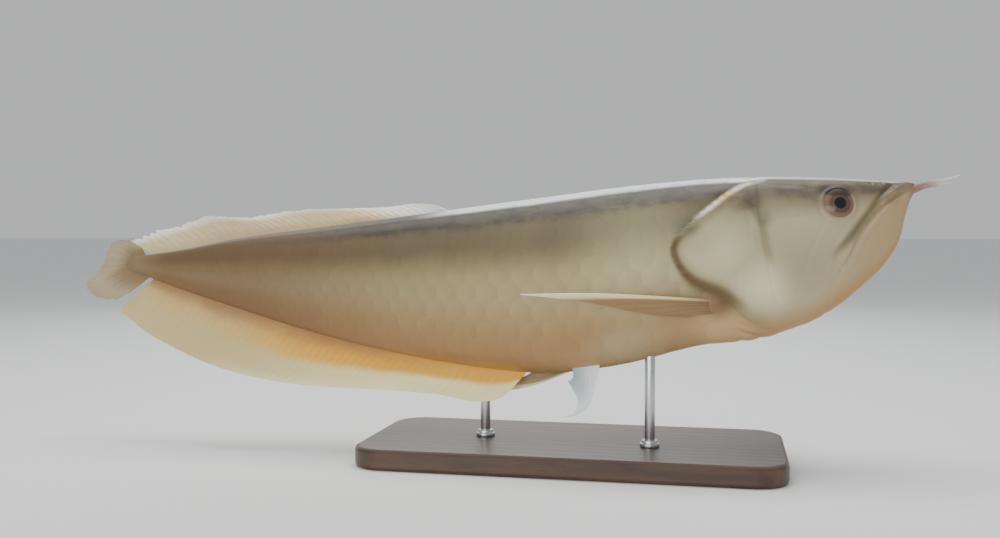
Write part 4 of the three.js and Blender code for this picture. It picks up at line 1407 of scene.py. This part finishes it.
def aim(context, name, data, place):
    """Adds a lamp or camera that looks at the fish."""
    piece = bpy.data.objects.new(name, data)
    piece.location = place
    piece.rotation_mode = "QUATERNION"
    piece.rotation_quaternion = (TARGET - Vector(place)).to_track_quat("-Z", "Y")
    context.scene.collection.objects.link(piece)
    return piece


class AROWANA_OT_stage(bpy.types.Operator):
    """Sets the floor, the studio light and the camera"""

    bl_idname = "arowana.stage"
    bl_label = "Stage"

    def execute(self, context):
        settings = context.scene.arowana_stage
        deselect()
        bpy.ops.mesh.primitive_plane_add(size=60, location=(0, 0, 0))
        floor = context.object
        floor.name = floor.data.name = "floor"
        f = Finish("stage_floor", Roughness=0.8)
        grain = f.noise(f.place(), 40, 3)
        floor.data.materials.append(f.done(
            Base_Color=f.mix(grain * 0.08, settings.floor, tint(196, 198, 200)),
            Normal=f.bump(grain, 0.0004, 0.1),
        ))

        for name, place, size, power, colour in LAMPS:
            lamp = bpy.data.lights.new(name, "AREA")
            lamp.shape = "ELLIPSE"
            lamp.size, lamp.size_y = size
            lamp.energy = settings.light * power
            lamp.color = colour
            aim(context, name, lamp, place)
        world = context.scene.world or bpy.data.worlds.new("studio")
        context.scene.world = world
        world.use_nodes = True
        background = world.node_tree.nodes["Background"]
        background.inputs["Color"].default_value = (*tint(228, 229, 230), 1)
        background.inputs["Strength"].default_value = AMBIENT

        azimuth, elevation = settings.azimuth, settings.elevation
        level = math.cos(elevation)
        back = Vector((math.sin(azimuth) * level, -math.cos(azimuth) * level, math.sin(elevation)))
        view = bpy.data.cameras.new("camera")
        view.sensor_width = 36
        view.lens = LENS
        view.clip_start, view.clip_end = 0.01, 50
        context.scene.camera = aim(context, "camera", view, TARGET + back * settings.distance)
        return {"FINISHED"}


class AROWANA_PT_panel(bpy.types.Panel):
    """Lists the steps that build the arowana"""

    bl_idname = "AROWANA_PT_panel"
    bl_label = "Silver arowana"
    bl_space_type = "VIEW_3D"
    bl_region_type = "UI"
    bl_category = "Arowana"

    def draw(self, context):
        for operator in OPERATORS:
            self.layout.operator(operator.bl_idname)
        for name in SETTINGS:
            group = getattr(context.scene, name)
            box = self.layout.box()
            box.label(text=name.replace("arowana_", "").capitalize())
            for key in group.bl_rna.properties.keys():
                if key not in ("rna_type", "name"):
                    box.prop(group, key)


OPERATORS = (
    AROWANA_OT_skin, AROWANA_OT_scales, AROWANA_OT_long_fins, AROWANA_OT_fan_fins, AROWANA_OT_eyes,
    AROWANA_OT_barbels, AROWANA_OT_stand, AROWANA_OT_stage,
)
SETTINGS = {
    "arowana_skin": SkinSettings,
    "arowana_scales": ScaleSettings,
    "arowana_fins": FinSettings,
    "arowana_eyes": EyeSettings,
    "arowana_stand": StandSettings,
    "arowana_stage": StageSettings,
}
CLASSES = (*SETTINGS.values(), *OPERATORS, AROWANA_PT_panel)


def register():
    for item in CLASSES:
        bpy.utils.register_class(item)
    for name, group in SETTINGS.items():
        setattr(bpy.types.Scene, name, bpy.props.PointerProperty(type=group))


def unregister():
    for name in SETTINGS:
        delattr(bpy.types.Scene, name)
    for item in reversed(CLASSES):
        bpy.utils.unregister_class(item)


def main():
    register()
    bpy.ops.arowana.skin()
    bpy.ops.arowana.scales()
    bpy.ops.arowana.long_fins()
    bpy.ops.arowana.fan_fins()
    bpy.ops.arowana.eyes()
    bpy.ops.arowana.barbels()
    bpy.ops.arowana.stand()
    bpy.ops.arowana.stage()


if __name__ == "__main__":
    main()
